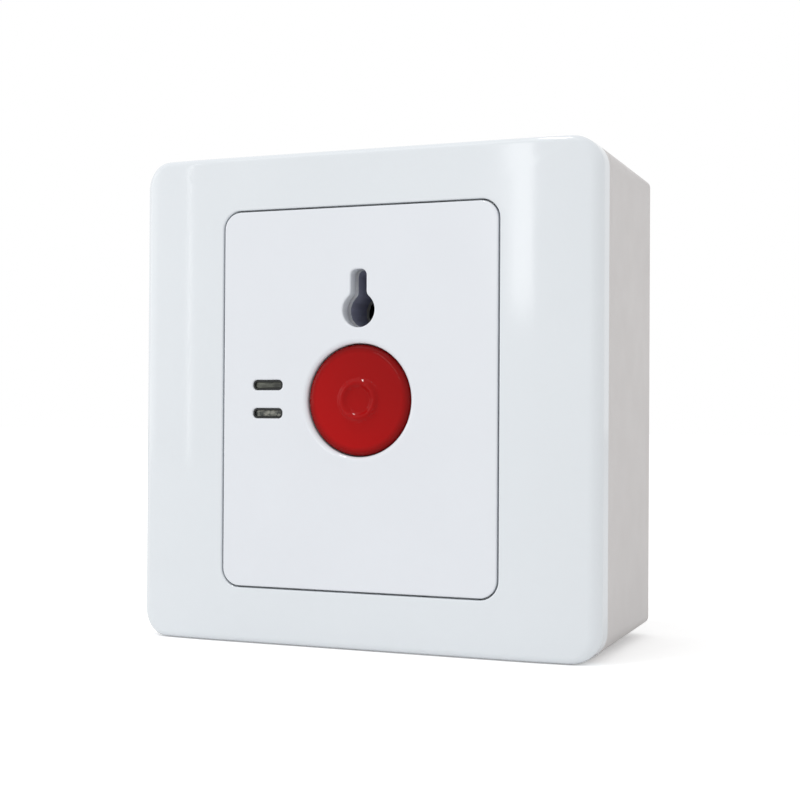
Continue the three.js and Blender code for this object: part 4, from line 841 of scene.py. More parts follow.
def screw_tree():
    """Sets a screw with a slotted or crossed head on every point."""
    tree, given = new_tree("Screws", [
        ("Shank Radius", "NodeSocketFloat"), ("Shank Length", "NodeSocketFloat"),
        ("Head Radius", "NodeSocketFloat"), ("Head Height", "NodeSocketFloat"),
        ("Recess Width", "NodeSocketFloat"), ("Recess Length", "NodeSocketFloat"),
        ("Recess Depth", "NodeSocketFloat"), ("Crossed", "NodeSocketBool"),
        ("Turn", "NodeSocketVector"), ("Material", "NodeSocketMaterial"),
    ])

    def lifted(node, height):
        shift = add_node(tree, "ShaderNodeCombineXYZ", {"Z": height})
        return add_node(tree, "GeometryNodeTransform", {
            "Geometry": node.outputs[0], "Translation": shift.outputs[0]}).outputs[0]

    def drum(radius, depth, middle):
        return lifted(add_node(tree, "GeometryNodeMeshCylinder", {
            "Vertices": SCREW_SIDES, "Radius": radius, "Depth": depth}), middle)

    length, rise = given["Shank Length"], given["Head Height"]
    shank = drum(given["Shank Radius"], length, calculate(tree, "MULTIPLY", length, -0.5))
    collar_height = calculate(tree, "MULTIPLY", rise, COLLAR_SHARE)
    head = drum(given["Head Radius"], collar_height,
                calculate(tree, "MULTIPLY", collar_height, 0.5))
    crown = lifted(add_node(tree, "GeometryNodeMeshCone", {
        "Vertices": SCREW_SIDES, "Radius Bottom": given["Head Radius"],
        "Radius Top": calculate(tree, "MULTIPLY", given["Head Radius"], CROWN_SHARE),
        "Depth": calculate(tree, "MULTIPLY", rise, 1 - COLLAR_SHARE)}), collar_height)
    body = add_node(tree, "GeometryNodeMeshBoolean", operation="UNION", solver="EXACT")
    for part in (shank, head, crown):
        tree.links.new(part, body.inputs["Mesh 2"])
    recess_size = add_node(tree, "ShaderNodeCombineXYZ", {
        "X": given["Recess Length"], "Y": given["Recess Width"],
        "Z": calculate(tree, "MULTIPLY", given["Recess Depth"], 2.0)})
    slot = lifted(add_node(tree, "GeometryNodeMeshCube", {"Size": recess_size.outputs[0]}), rise)
    second = add_node(tree, "GeometryNodeTransform", {
        "Geometry": slot, "Rotation": (0, 0, math.pi / 2)}).outputs[0]
    crossing = add_node(tree, "GeometryNodeSwitch", {
        "Switch": given["Crossed"], "False": slot, "True": second}, input_type="GEOMETRY")
    screw = add_node(tree, "GeometryNodeMeshBoolean", {"Mesh 1": body.outputs[0]},
                     operation="DIFFERENCE", solver="EXACT")
    for tool in (slot, crossing.outputs[0]):
        tree.links.new(tool, screw.inputs["Mesh 2"])
    turn = add_node(tree, "FunctionNodeEulerToRotation", {0: given["Turn"]})
    set_out = add_node(tree, "GeometryNodeInstanceOnPoints", {
        "Points": given["Geometry"], "Instance": screw.outputs[0],
        "Rotation": turn.outputs[0]})
    end_tree(tree, set_out.outputs[0], given["Material"])
    return tree


def spring_tree():
    """Winds a coil of round wire from a start along a turned axis."""
    tree, given = new_tree("Spring", [
        ("Turns", "NodeSocketFloat"), ("Coil Radius", "NodeSocketFloat"),
        ("Length", "NodeSocketFloat"), ("Wire Radius", "NodeSocketFloat"),
        ("Start", "NodeSocketVector"), ("Turn", "NodeSocketVector"),
        ("Material", "NodeSocketMaterial"),
    ])
    coil = add_node(tree, "GeometryNodeCurveSpiral", {
        "Resolution": 36, "Rotations": given["Turns"], "Start Radius": given["Coil Radius"],
        "End Radius": given["Coil Radius"], "Height": given["Length"]})
    wire = add_node(tree, "GeometryNodeCurvePrimitiveCircle", {
        "Resolution": 12, "Radius": given["Wire Radius"]})
    swept = add_node(tree, "GeometryNodeCurveToMesh", {
        "Curve": coil.outputs[0], "Profile Curve": wire.outputs[0], "Fill Caps": True})
    turn = add_node(tree, "FunctionNodeEulerToRotation", {0: given["Turn"]})
    placed = add_node(tree, "GeometryNodeTransform", {
        "Geometry": swept.outputs[0], "Translation": given["Start"],
        "Rotation": turn.outputs[0]})
    end_tree(tree, placed.outputs[0], given["Material"])
    return tree


def painted(colour):
    """A finish's colour as the shaders take it."""
    linear = Color(colour).from_srgb_to_scene_linear()
    return (linear.r, linear.g, linear.b, 1.0)


def shade(colour, share):
    """A lighter or darker tone of a shader colour."""
    return tuple(min(1.0, c * share) for c in colour[:3]) + (1.0,)


def new_finish(name, roughness, metallic=0.0, stretch=(1, 1, 1)):
    """A material with its shader, and the coordinates that its patterns read."""
    material = bpy.data.materials.new(name)
    material.use_nodes = True
    tree = material.node_tree
    shader = tree.nodes["Principled BSDF"]
    shader.inputs["Roughness"].default_value = roughness
    shader.inputs["Metallic"].default_value = metallic
    place = add_node(tree, "ShaderNodeTexCoord").outputs["Object"]
    spread = add_node(tree, "ShaderNodeMapping", {"Vector": place, "Scale": stretch})
    return material, tree, shader, spread.outputs[0]


def noise(tree, place, scale, detail=2.0, roughness=0.5):
    return add_node(tree, "ShaderNodeTexNoise", {
        "Vector": place, "Scale": scale, "Detail": detail, "Roughness": roughness,
    }).outputs["Fac"]


def ranged(tree, value, low, high, start=0.3, end=0.7):
    return add_node(tree, "ShaderNodeMapRange", {
        "Value": value, "From Min": start, "From Max": end, "To Min": low, "To Max": high,
    }).outputs[0]


def mixed(tree, share, first, second):
    node = add_node(tree, "ShaderNodeMix", data_type="RGBA")
    for socket, value in ((0, share), (6, first), (7, second)):
        if isinstance(value, bpy.types.NodeSocket):
            tree.links.new(value, node.inputs[socket])
        else:
            node.inputs[socket].default_value = value
    return node.outputs[2]


def moulded(name, colour, roughness, clouding=0.015, grain=2600, grain_depth=0.004,
            shine=0.5):
    """Moulded plastic: faint clouding in its colour and gloss, and a fine skin."""
    material, tree, shader, place = new_finish(name, roughness)
    shader.inputs["Specular IOR Level"].default_value = shine
    base = painted(colour)
    clouds = noise(tree, place, 55, 3)
    shader_colour = mixed(tree, ranged(tree, clouds, 0.0, 1.0),
                          shade(base, 1 - clouding), shade(base, 1 + clouding))
    tree.links.new(shader_colour, shader.inputs["Base Color"])
    tree.links.new(ranged(tree, noise(tree, place, 140, 4), roughness * 0.88,
                          roughness * 1.15), shader.inputs["Roughness"])
    bump = add_node(tree, "ShaderNodeBump", {
        "Height": noise(tree, place, grain, 2), "Strength": 0.5,
        "Distance": grain_depth * MM})
    tree.links.new(bump.outputs[0], shader.inputs["Normal"])
    return material


def button_cap(name, colour, radius):
    """Glossy dyed plastic, darker round the rim, partly the deeper tint of its thick edge and
    partly painted shade, and painted light low on the left that fades to painted shade at the
    upper right.
    """
    material = moulded(name, colour, 0.08, clouding=0.03, shine=0.1)
    tree = material.node_tree
    shader = tree.nodes["Principled BSDF"]
    low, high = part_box("button_cap")
    axis = (low + high) / 2
    place = add_node(tree, "ShaderNodeTexCoord").outputs["Object"]
    flat = add_node(tree, "ShaderNodeVectorMath", {0: place, 1: (1, 0, 1)},
                    operation="MULTIPLY").outputs[0]
    away = add_node(tree, "ShaderNodeVectorMath", {0: flat, 1: (axis.x, 0, axis.z)},
                    operation="SUBTRACT").outputs[0]
    spread = add_node(tree, "ShaderNodeVectorMath", {0: away}, operation="LENGTH")
    # Darker round the rim: partly the deeper tint of the thick edge, partly painted shade where
    # the rim falls away.
    rim = ranged(tree, spread.outputs["Value"], 0.0, 1.0, 0.84 * radius, radius)
    # Painted light: lighter low on the left, with painted shade towards the upper right.
    slope = add_node(tree, "ShaderNodeVectorMath", {0: away, 1: (1, 0, 1)},
                     operation="DOT_PRODUCT")
    painted_light_share = ranged(tree, slope.outputs["Value"], 1.0, 0.0, -radius, radius)
    plain = shader.inputs["Base Color"].links[0].from_socket
    dark = mixed(tree, 0.5, plain, shade(painted(colour), 0.78))
    painted_light_gradient = mixed(tree, painted_light_share, dark, shade(painted(colour), 1.16))
    tree.links.new(mixed(tree, rim, painted_light_gradient, shade(painted(colour), 0.5)),
                   shader.inputs["Base Color"])
    return material


def case_moulding(name, colour):
    """Grey moulded plastic, with a painted highlight where the edges stand nearest to the front.
    """
    material = moulded(name, colour, 0.4, clouding=0.03, grain=1800, grain_depth=0.01)
    tree = material.node_tree
    shader = tree.nodes["Principled BSDF"]
    place = add_node(tree, "ShaderNodeTexCoord").outputs["Object"]
    depth = add_node(tree, "ShaderNodeSeparateXYZ", {0: place}).outputs["Y"]
    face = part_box("mechanism_case")[0].y
    # Painted highlight: a pale band on the front edges, in place of the light they catch.
    painted_highlight_share = ranged(tree, depth, 1.0, 0.0, face + 0.05 * MM, face + 0.2 * MM)
    plain = shader.inputs["Base Color"].links[0].from_socket
    tree.links.new(mixed(tree, painted_highlight_share, plain, (0.85, 0.86, 0.9, 1)),
                   shader.inputs["Base Color"])
    return material


def smoked(name, dark, light, stretch, scale):
    """Smoked resin, with its light tone laid in streaks as painted highlights."""
    material, tree, shader, place = new_finish(name, 0.12, stretch=stretch)
    streaks = noise(tree, place, scale, 3, 0.65)
    # The light tone is painted light: streaks of painted highlight over the dark resin.
    tree.links.new(mixed(tree, ranged(tree, streaks, 0.0, 1.0, 0.42, 0.66), painted(dark),
                         painted(light)), shader.inputs["Base Color"])
    bump = add_node(tree, "ShaderNodeBump", {
        "Height": streaks, "Strength": 0.5, "Distance": 0.05 * MM})
    tree.links.new(bump.outputs[0], shader.inputs["Normal"])
    return material


def metal(name, colour, roughness, stretch=(1, 1, 30)):
    """Drawn or plated metal: fine streaks along one direction, and dull spots."""
    material, tree, shader, place = new_finish(name, roughness, 1.0, stretch)
    base = painted(colour)
    streaks = noise(tree, place, 900, 3, 0.6)
    tree.links.new(mixed(tree, ranged(tree, streaks, 0.0, 1.0), shade(base, 0.88),
                         shade(base, 1.06)), shader.inputs["Base Color"])
    tree.links.new(ranged(tree, streaks, roughness * 0.8, roughness * 1.4),
                   shader.inputs["Roughness"])
    bump = add_node(tree, "ShaderNodeBump", {
        "Height": streaks, "Strength": 0.3, "Distance": 0.004 * MM})
    tree.links.new(bump.outputs[0], shader.inputs["Normal"])
    return material


def circuit(name, colour):
    """Lacquered board: darker ground between slightly raised tracks."""
    material, tree, shader, place = new_finish(name, 0.32)
    base = painted(colour)
    tracks = add_node(tree, "ShaderNodeTexBrick", {
        "Vector": place, "Color1": (1, 1, 1, 1), "Color2": (1, 1, 1, 1),
        "Mortar": (0, 0, 0, 1), "Scale": 240.0, "Mortar Size": 0.08, "Mortar Smooth": 0.3,
    }).outputs["Fac"]
    tree.links.new(mixed(tree, tracks, shade(base, 1.25), shade(base, 0.6)),
                   shader.inputs["Base Color"])
    bump = add_node(tree, "ShaderNodeBump", {
        "Height": tracks, "Strength": 0.6, "Distance": 0.03 * MM}, invert=True)
    tree.links.new(bump.outputs[0], shader.inputs["Normal"])
    return material


def finish_named(name):
    """A finish that the first operator made."""
    if name not in bpy.data.materials:
        raise RuntimeError(f"the finish {name} isn't there: make the finishes first")
    return bpy.data.materials[name]


class STATION_OT_finishes(bpy.types.Operator):
    """Makes every finish, and gives one to each CAD node that stays in view"""

    bl_idname = "station.finishes"
    bl_label = "Finishes"

    def execute(self, context):
        colours = context.scene.station.finishes
        moulded("gloss_panel", colours.panel, 0.09, clouding=0.008)
        moulded("gloss_frame", colours.plate, 0.09, clouding=0.008)
        moulded("satin_box", colours.box, 0.48, clouding=0.008, grain=3200, grain_depth=0.02)
        # The button's red carries painted light low on the left and painted shade at the upper
        # right.
        button_cap("gloss_red", colours.button, context.scene.station.button.radius)
        natural = moulded("natural_moulding", colours.natural, 0.5, clouding=0.03,
                          grain=1800, grain_depth=0.02)
        # The case's pale front edges are a painted highlight.
        case = case_moulding("case_moulding", colours.case)
        base = moulded("black_moulding", colours.base, 0.45, clouding=0.06,
                       grain=2200, grain_depth=0.03)
        steel = metal("zinc_plate", (0.74, 0.75, 0.77), 0.3)
        spring = metal("spring_wire", (0.70, 0.71, 0.73), 0.24, (30, 1, 1))
        brass = metal("contact_brass", (0.78, 0.63, 0.32), 0.32, (1, 12, 1))
        board = circuit("board_lacquer", colours.board)
        moulded("lamp_body", (0.72, 0.73, 0.70), 0.35, clouding=0.03)
        moulded("lamp_resin", (0.62, 0.63, 0.40), 0.15, clouding=0.05, shine=0.8)
        moulded("shade_black", (0.075, 0.085, 0.085), 0.3, clouding=0.05)
        # The guides' light tones are painted highlights on the smoked resin.
        smoked("guide_upper", (0.21, 0.22, 0.20), (0.42, 0.43, 0.39), (0.25, 1, 1.2), 900)
        smoked("guide_lower", (0.20, 0.22, 0.21), (0.60, 0.60, 0.56), (0.8, 1, 0.9), 1500)
        moulded("chip_body", (0.14, 0.14, 0.16), 0.4, clouding=0.08)
        metal("solder", (0.62, 0.62, 0.64), 0.35, (1, 1, 1))
        red_sleeve = moulded("red_sleeve", (0.62, 0.12, 0.11), 0.42, clouding=0.05)
        black_sleeve = moulded("black_sleeve", (0.12, 0.12, 0.13), 0.42, clouding=0.08)
        kept = {
            natural: ["mounting_bracket", "guide_plate", "plunger"],
            case: ["mechanism_case"],
            base: ["contact_base"],
            spring: ["bridge_clip"],
            steel: ["latch_plate"],
            brass: ["contact_bridge", "closing_contact_left", "closing_contact_right",
                    "opening_contact_left", "opening_contact_right", "signal_contact_left",
                    "signal_contact_right"],
            board: ["signal_board"],
            red_sleeve: ["signal_lead_red"],
            black_sleeve: ["signal_lead_black"],
        }
        for material, names in kept.items():
            for name in names:
                for slot in NODES[name].material_slots:
                    slot.material = material
        return {"FINISHED"}


class STATION_OT_front_frame(bpy.types.Operator):
    """Makes the crowned front frame with its ledge, collar, ribs and hooks"""

    bl_idname = "station.front_frame"
    bl_label = "Front Frame"

    def execute(self, context):
        settings = context.scene.station
        plate, panel = settings.plate, settings.panel
        panel_low, panel_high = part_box("function_panel")
        front = -panel_low.y
        rim = front - plate.rim_depth
        back_of_panel = front - panel.thickness
        ledge_back = back_of_panel - plate.ledge_thickness

        def fall(x):
            beyond = max(0.0, abs(x) - (plate.size / 2 - plate.crown_width))
            return plate.crown_drop * (beyond / plate.crown_width) ** 2

        def ring_shape(width, height, corner):
            return rounded(width, height, corner, side_steps=SIDE_STEPS)

        def on_face(height):
            return lambda place: Vector((place.x, fall(place.x) - height, place.z))

        width = panel_high.x - panel_low.x + 2 * panel.seam
        height = panel_high.z - panel_low.z + 2 * panel.seam
        corner = panel.corner + panel.seam
        outer = ring_shape(plate.size, plate.size, plate.corner)
        opening = ring_shape(width, height, corner)
        ledge = ring_shape(width - 2 * plate.ledge_width, height - 2 * plate.ledge_width,
                           corner - plate.ledge_width)
        collar = ring_shape(width + 2 * plate.collar_wall, height + 2 * plate.collar_wall,
                            corner + plate.collar_wall)
        inner_size = plate.size - 2 * plate.wall
        inner = ring_shape(inner_size, inner_size, plate.corner - plate.wall)
        shoulder = []
        for i in range(CORNER_STEPS + 1):
            angle = math.pi / 2 * i / CORNER_STEPS
            row = []
            for x, z, nx, nz in outer:
                across = x - plate.side_round * (1 - math.cos(angle)) * nx
                up = z - plate.end_round * (1 - math.cos(angle)) * nz
                drop = (plate.side_round * nx ** 2 + plate.end_round * nz ** 2) * (
                    1 - math.sin(angle))
                row.append(Vector((across, drop + fall(across) - front, up)))
            shoulder.append(row)
        lip_rings = edge(opening, front, plate.lip, rising=False, outward=True)
        skin = Skin()
        skin.wrap([
            *foot(outer, rim, plate.rim_round), *shoulder,
            *blend_rings(shoulder[-1], lip_rings[0], FACE_STEPS, on_face(front)), *lip_rings,
            ring(opening, back_of_panel),
        ])
        skin.wrap([ring(opening, back_of_panel), ring(ledge, back_of_panel)])
        skin.wrap([ring(ledge, back_of_panel), ring(ledge, ledge_back)])
        skin.wrap([ring(ledge, ledge_back), ring(collar, ledge_back)])
        behind = on_face(front - plate.wall)
        collar_top = [behind(p) for p in ring(collar, 0)]
        inner_top = [behind(p) for p in ring(inner, 0, plate.inner_round)]
        inner_side = [behind(p) + Vector((0, plate.inner_round, 0)) for p in ring(inner, 0)]
        skin.wrap([ring(collar, ledge_back), collar_top])
        skin.wrap([collar_top, *blend_rings(collar_top, inner_top, BACK_STEPS, behind), inner_top])
        skin.wrap([inner_top, inner_side])
        skin.wrap([inner_side, ring(inner, rim)])
        skin.wrap([ring(inner, rim), ring(outer, rim, plate.rim_round)])
        self.add_ribs_and_hooks(skin, plate, width, height, front, ledge_back)
        piece = skin.piece("front_frame_skin", finish_named("gloss_frame"))
        settle(piece, "housing", "frame_white", "front_frame")
        return {"FINISHED"}

    def add_ribs_and_hooks(self, skin, plate, width, height, front, ledge_back):
        top = front - plate.wall + OVERLAP
        low = ledge_back - plate.rib_depth
        reach = plate.size / 2 - plate.wall + OVERLAP
        half = plate.rib_thickness / 2
        end_rib, side_rib = plate.rib_places
        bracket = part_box("mounting_bracket")[1]
        for across in (-1, 1):
            for up in (-1, 1):
                z = up * side_rib
                skin.block([
                    Vector((across * width / 2, -h, z + s * half))
                    for h, s in ((low, -1), (low, 1), (top, 1), (top, -1))
                ], Vector((across * (reach - width / 2), 0, 0)))
                x = across * end_rib
                skin.block([
                    Vector((x + s * half, -h, up * height / 2))
                    for h, s in ((low, -1), (low, 1), (top, 1), (top, -1))
                ], Vector((0, 0, up * (reach - height / 2))))
                hook(skin, across * plate.hook_place, up, bracket.z - plate.hook_inset, top,
                     -bracket.y - HOOK_GAP, **FRAME_HOOK)


class STATION_OT_panel(bpy.types.Operator):
    """Makes the panel with its button hole, key slot and signal windows"""

    bl_idname = "station.panel"
    bl_label = "Panel"

    def execute(self, context):
        settings = context.scene.station
        panel, button, plate = settings.panel, settings.button, settings.plate
        low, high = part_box("function_panel")
        front, back = -low.y, -low.y - panel.thickness
        axis = sum(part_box("button_cap"), Vector()) / 2
        outer = rounded(high.x - low.x, high.z - low.z, panel.corner)
        holes = [(round_outline(button.radius + panel.button_gap, axis.x, axis.z, HOLE_STEPS),
                  panel.button_lip),
                 (keyhole(panel, axis.x), panel.edge_round)]
        for up in (-0.5, 0.5):
            holes.append((rounded(*panel.window_size, panel.window_corner, panel.window_x,
                                  panel.window_z + up * panel.window_pitch),
                          panel.edge_round))
        skin = Skin()
        edge_rings = edge(outer, front, panel.edge_round)
        skin.wrap([ring(outer, back), *edge_rings])
        hole_rings = [edge(hole, front, lip, rising=False, outward=True)
                      for hole, lip in holes]
        for (hole, lip), rings in zip(holes, hole_rings):
            skin.wrap([*rings, ring(hole, back)])
        skin.fill([edge_rings[-1], *(rings[0] for rings in hole_rings)], FRONT)
        skin.fill([ring(outer, back), *(ring(hole, back) for hole, _ in holes)], BACK)
        hook_outer = (high.z - low.z) / 2 + panel.seam - plate.ledge_width - HOOK_GAP
        for across in (-1, 1):
            for up in (-1, 1):
                hook(skin, across * panel.hook_place, up, hook_outer, back + OVERLAP,
                     back - plate.ledge_thickness - HOOK_GAP, **PANEL_HOOK)
        piece = skin.piece("function_panel_skin", finish_named("gloss_panel"))
        settle(piece, "housing", "panel_white", "function_panel")
        return {"FINISHED"}


class STATION_OT_button(bpy.types.Operator):
    """Turns the button from its profile, with the raised ring on its face"""

    bl_idname = "station.button"
    bl_label = "Button"

    def execute(self, context):
        button = context.scene.station.button
        low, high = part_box("button_cap")
        axis = (low + high) / 2
        face = -low.y - button.ring_height
        flange_low, flange_radius = -high.y, (high.x - low.x) / 2
        flange_top = flange_low + button.flange_thickness
        inner = button.radius - button.skirt_wall
        ceiling = face - button.wall
        flat_radius = button.radius - button.rim_width
        flat = [(flat_radius * i / BUTTON_FACE_STEPS, face)
                for i in range(BUTTON_FACE_STEPS + 1)]
        turns = [math.pi / 2 * i / BUTTON_RIM_STEPS for i in range(1, BUTTON_RIM_STEPS + 1)]
        rim = [(flat_radius + button.rim_width * math.sin(a),
                face - button.rim_drop * (1 - math.cos(a))) for a in turns]
        soft = button.flange_round
        flange = [
            (button.radius, flange_top), (flange_radius - soft, flange_top),
            (flange_radius, flange_top - soft), (flange_radius, flange_low + soft),
            (flange_radius - soft, flange_low), (inner, flange_low), (inner, ceiling),
        ]
        outer, bore = button.socket_radii
        end, floor = ceiling - button.socket_depth, ceiling - button.socket_recess
        socket = [(outer, ceiling), (outer, end), (bore, end), (bore, floor), (0.0, floor)]
        mesh = bpy.data.meshes.new("button_profile")
        mesh.from_pydata([(r, 0.0, h) for r, h in flat + rim + flange + socket], [], [])
        red = finish_named("gloss_red")
        piece = grow("button_cap_skin", mesh, turned_tree(), {
            "Axis": axis, "Segments": button.segments, "Face Height": face,
            "Ring Radius": button.ring_radius, "Ring Width": button.ring_width,
            "Ring Height": button.ring_height, "Material": red,
        }, red)
        settle(piece, "button", "button_red", "button_cap")
        return {"FINISHED"}


class STATION_OT_box(bpy.types.Operator):
    """Makes the tapered surface box with its wall slots, cable hole and screw posts"""

    bl_idname = "station.box"
    bl_label = "Surface Box"

    def execute(self, context):
        box = context.scene.station.box
        rim = -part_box("back_box")[0].y
        holes = [round_outline(box.cable_radius, 0.0, box.cable_z)]
        width, length = box.slot_size
        slot_x, slot_z = box.slot_places
        for side in (-1, 1):
            holes.append(rounded(width, length, width / 2, side * slot_x, 0.0))
            holes.append(rounded(length, width, width / 2, 0.0, side * slot_z))

        def outline(height, inset=0.0):
            share = height / rim
            size = box.back_size + (box.front_size - box.back_size) * share - 2 * inset
            corner = box.back_corner + (box.front_corner - box.back_corner) * share
            return rounded(size, size, corner - inset / 2)

        skin = Skin()
        base_rings = foot(outline(0.0), 0.0, box.edge_round)
        rim_rings = edge(outline(rim), rim, box.rim_round)
        skin.wrap([*base_rings, *rim_rings])
        inside = [ring(outline(h, box.wall), h) for h in (rim, box.wall)]
        skin.wrap([rim_rings[-1], inside[0]])
        skin.wrap(inside)
        hole_feet = [foot(hole, 0.0, box.hole_round, outward=True) for hole in holes]
        for hole, rings in zip(holes, hole_feet):
            skin.wrap([ring(hole, box.wall), *rings[::-1]])
        skin.fill([base_rings[0], *(rings[0] for rings in hole_feet)], BACK)
        skin.fill([inside[1], *(ring(hole, box.wall) for hole in holes)], FRONT)
        self.add_posts(skin, box)
        piece = skin.piece("back_box_skin", finish_named("satin_box"))
        settle(piece, "housing", "box_white", "back_box")
        return {"FINISHED"}

    def add_posts(self, skin, box):
        top = -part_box("mounting_bracket")[1].y
        embedded = box.wall / 2
        for name in ("mounting_screw_left", "mounting_screw_right"):
            low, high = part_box(name)
            x = (low.x + high.x) / 2
            post = round_outline(box.post_radius, x, 0.0, POST_STEPS)
            bore = round_outline(box.post_bore, x, 0.0, POST_STEPS)
            floor = top - box.post_bore_depth
            skin.fill([ring(post, embedded)], BACK)
            skin.wrap([ring(post, embedded), ring(post, top)])
            skin.wrap([ring(post, top), ring(bore, top)])
            skin.wrap([ring(bore, top), ring(bore, floor)])
            skin.fill([ring(bore, floor)], FRONT)
            side = math.copysign(1.0, x)
            half = box.rib_thickness / 2
            start = side * (abs(x) + box.post_radius - OVERLAP)
            end = side * (box.back_size / 2 - box.rib_inset)
            rib_top = top - box.rib_drop
            skin.block([
                Vector((start, -h, s * half)) for h, s in (
                    (embedded, -1), (embedded, 1), (rib_top, 1), (rib_top, -1))
            ], Vector((end - start, 0, 0)))


class STATION_OT_screws(bpy.types.Operator):
    """Sets the mounting, case, base and terminal screws"""

    bl_idname = "station.screws"
    bl_label = "Screws"

    def execute(self, context):
        tree = screw_tree()
        corners = [f"{along}_{across}" for along in ("lower", "upper")
                   for across in ("left", "right")]
        groups = {
            "mounting_screws": (["mounting_screw_left", "mounting_screw_right"], True, False),
            "case_screws": ([f"case_screw_{c}" for c in corners], True, False),
            "base_screws": ([f"base_screw_{c}" for c in corners], True, True),
            "terminal_screws": ([f"terminal_screw_{i}" for i in range(1, 7)], False, True),
        }
        for name, (nodes, crossed, from_back) in groups.items():
            self.set_screws(tree, name, nodes, crossed, from_back)
        return {"FINISHED"}

    def set_screws(self, tree, name, nodes, crossed, from_back):
        screws = bpy.context.scene.station.screws
        boxes = [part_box(node) for node in nodes]
        low, high = boxes[0]
        head_radius = (high.x - low.x) / 2
        shank_radius = head_radius / screws.head_share
        rise = shank_radius * screws.rise_share
        seat = high.y - rise if from_back else low.y + rise
        places = [((a.x + b.x) / 2, seat, (a.z + b.z) / 2) for a, b in boxes]
        mesh = bpy.data.meshes.new(name)
        mesh.from_pydata(places, [], [])
        steel = finish_named("zinc_plate")
        piece = grow(name, mesh, tree, {
            "Shank Radius": shank_radius, "Shank Length": high.y - low.y - rise,
            "Head Radius": head_radius, "Head Height": rise,
            "Recess Width": head_radius * screws.recess_width_share,
            "Recess Depth": rise * screws.recess_depth_share,
            "Recess Length": head_radius * (
                screws.cross_share if crossed else screws.slot_share),
            "Crossed": crossed,
            "Turn": Vector((-math.pi / 2 if from_back else math.pi / 2, 0, 0)),
            "Material": steel,
        }, steel)
        settle(piece, "housing", "plated_steel", *nodes)


class STATION_OT_springs(bpy.types.Operator):
    """Winds the return spring and the latch spring, each between its seat and what it pushes"""

    bl_idname = "station.springs"
    bl_label = "Springs"

    def execute(self, context):
        springs = context.scene.station.springs
        tree = spring_tree()
        low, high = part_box("return_spring")
        wire = springs.return_wire
        seat = Vector(((low.x + high.x) / 2, high.y - wire, (low.z + high.z) / 2))
        piece = self.wind(tree, "return_spring_coil", wire, (high.x - low.x) / 2 - wire,
                          high.y - low.y - 2 * wire, seat, (math.pi / 2, 0, 0))
        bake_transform(piece)
        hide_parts("return_spring")
        low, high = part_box("latch_spring")
        wire = springs.latch_wire
        seat = Vector((low.x + wire, (low.y + high.y) / 2, (low.z + high.z) / 2))
        piece = self.wind(tree, "latch_spring_coil", wire, (high.z - low.z) / 2 - wire,
                          high.x - low.x - 2 * wire, seat, (0, math.pi / 2, 0))
        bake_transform(piece)
        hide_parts("latch_spring")
        return {"FINISHED"}

    def wind(self, tree, name, wire, radius, length, start, turn):
        mesh = bpy.data.meshes.new(name)
        mesh.from_pydata([start], [], [])
        steel = finish_named("spring_wire")
        piece = grow(name, mesh, tree, {
            "Turns": bpy.context.scene.station.springs.turns, "Coil Radius": radius,
            "Length": length, "Wire Radius": wire, "Start": start, "Turn": Vector(turn),
            "Material": steel,
        }, steel)
        return piece


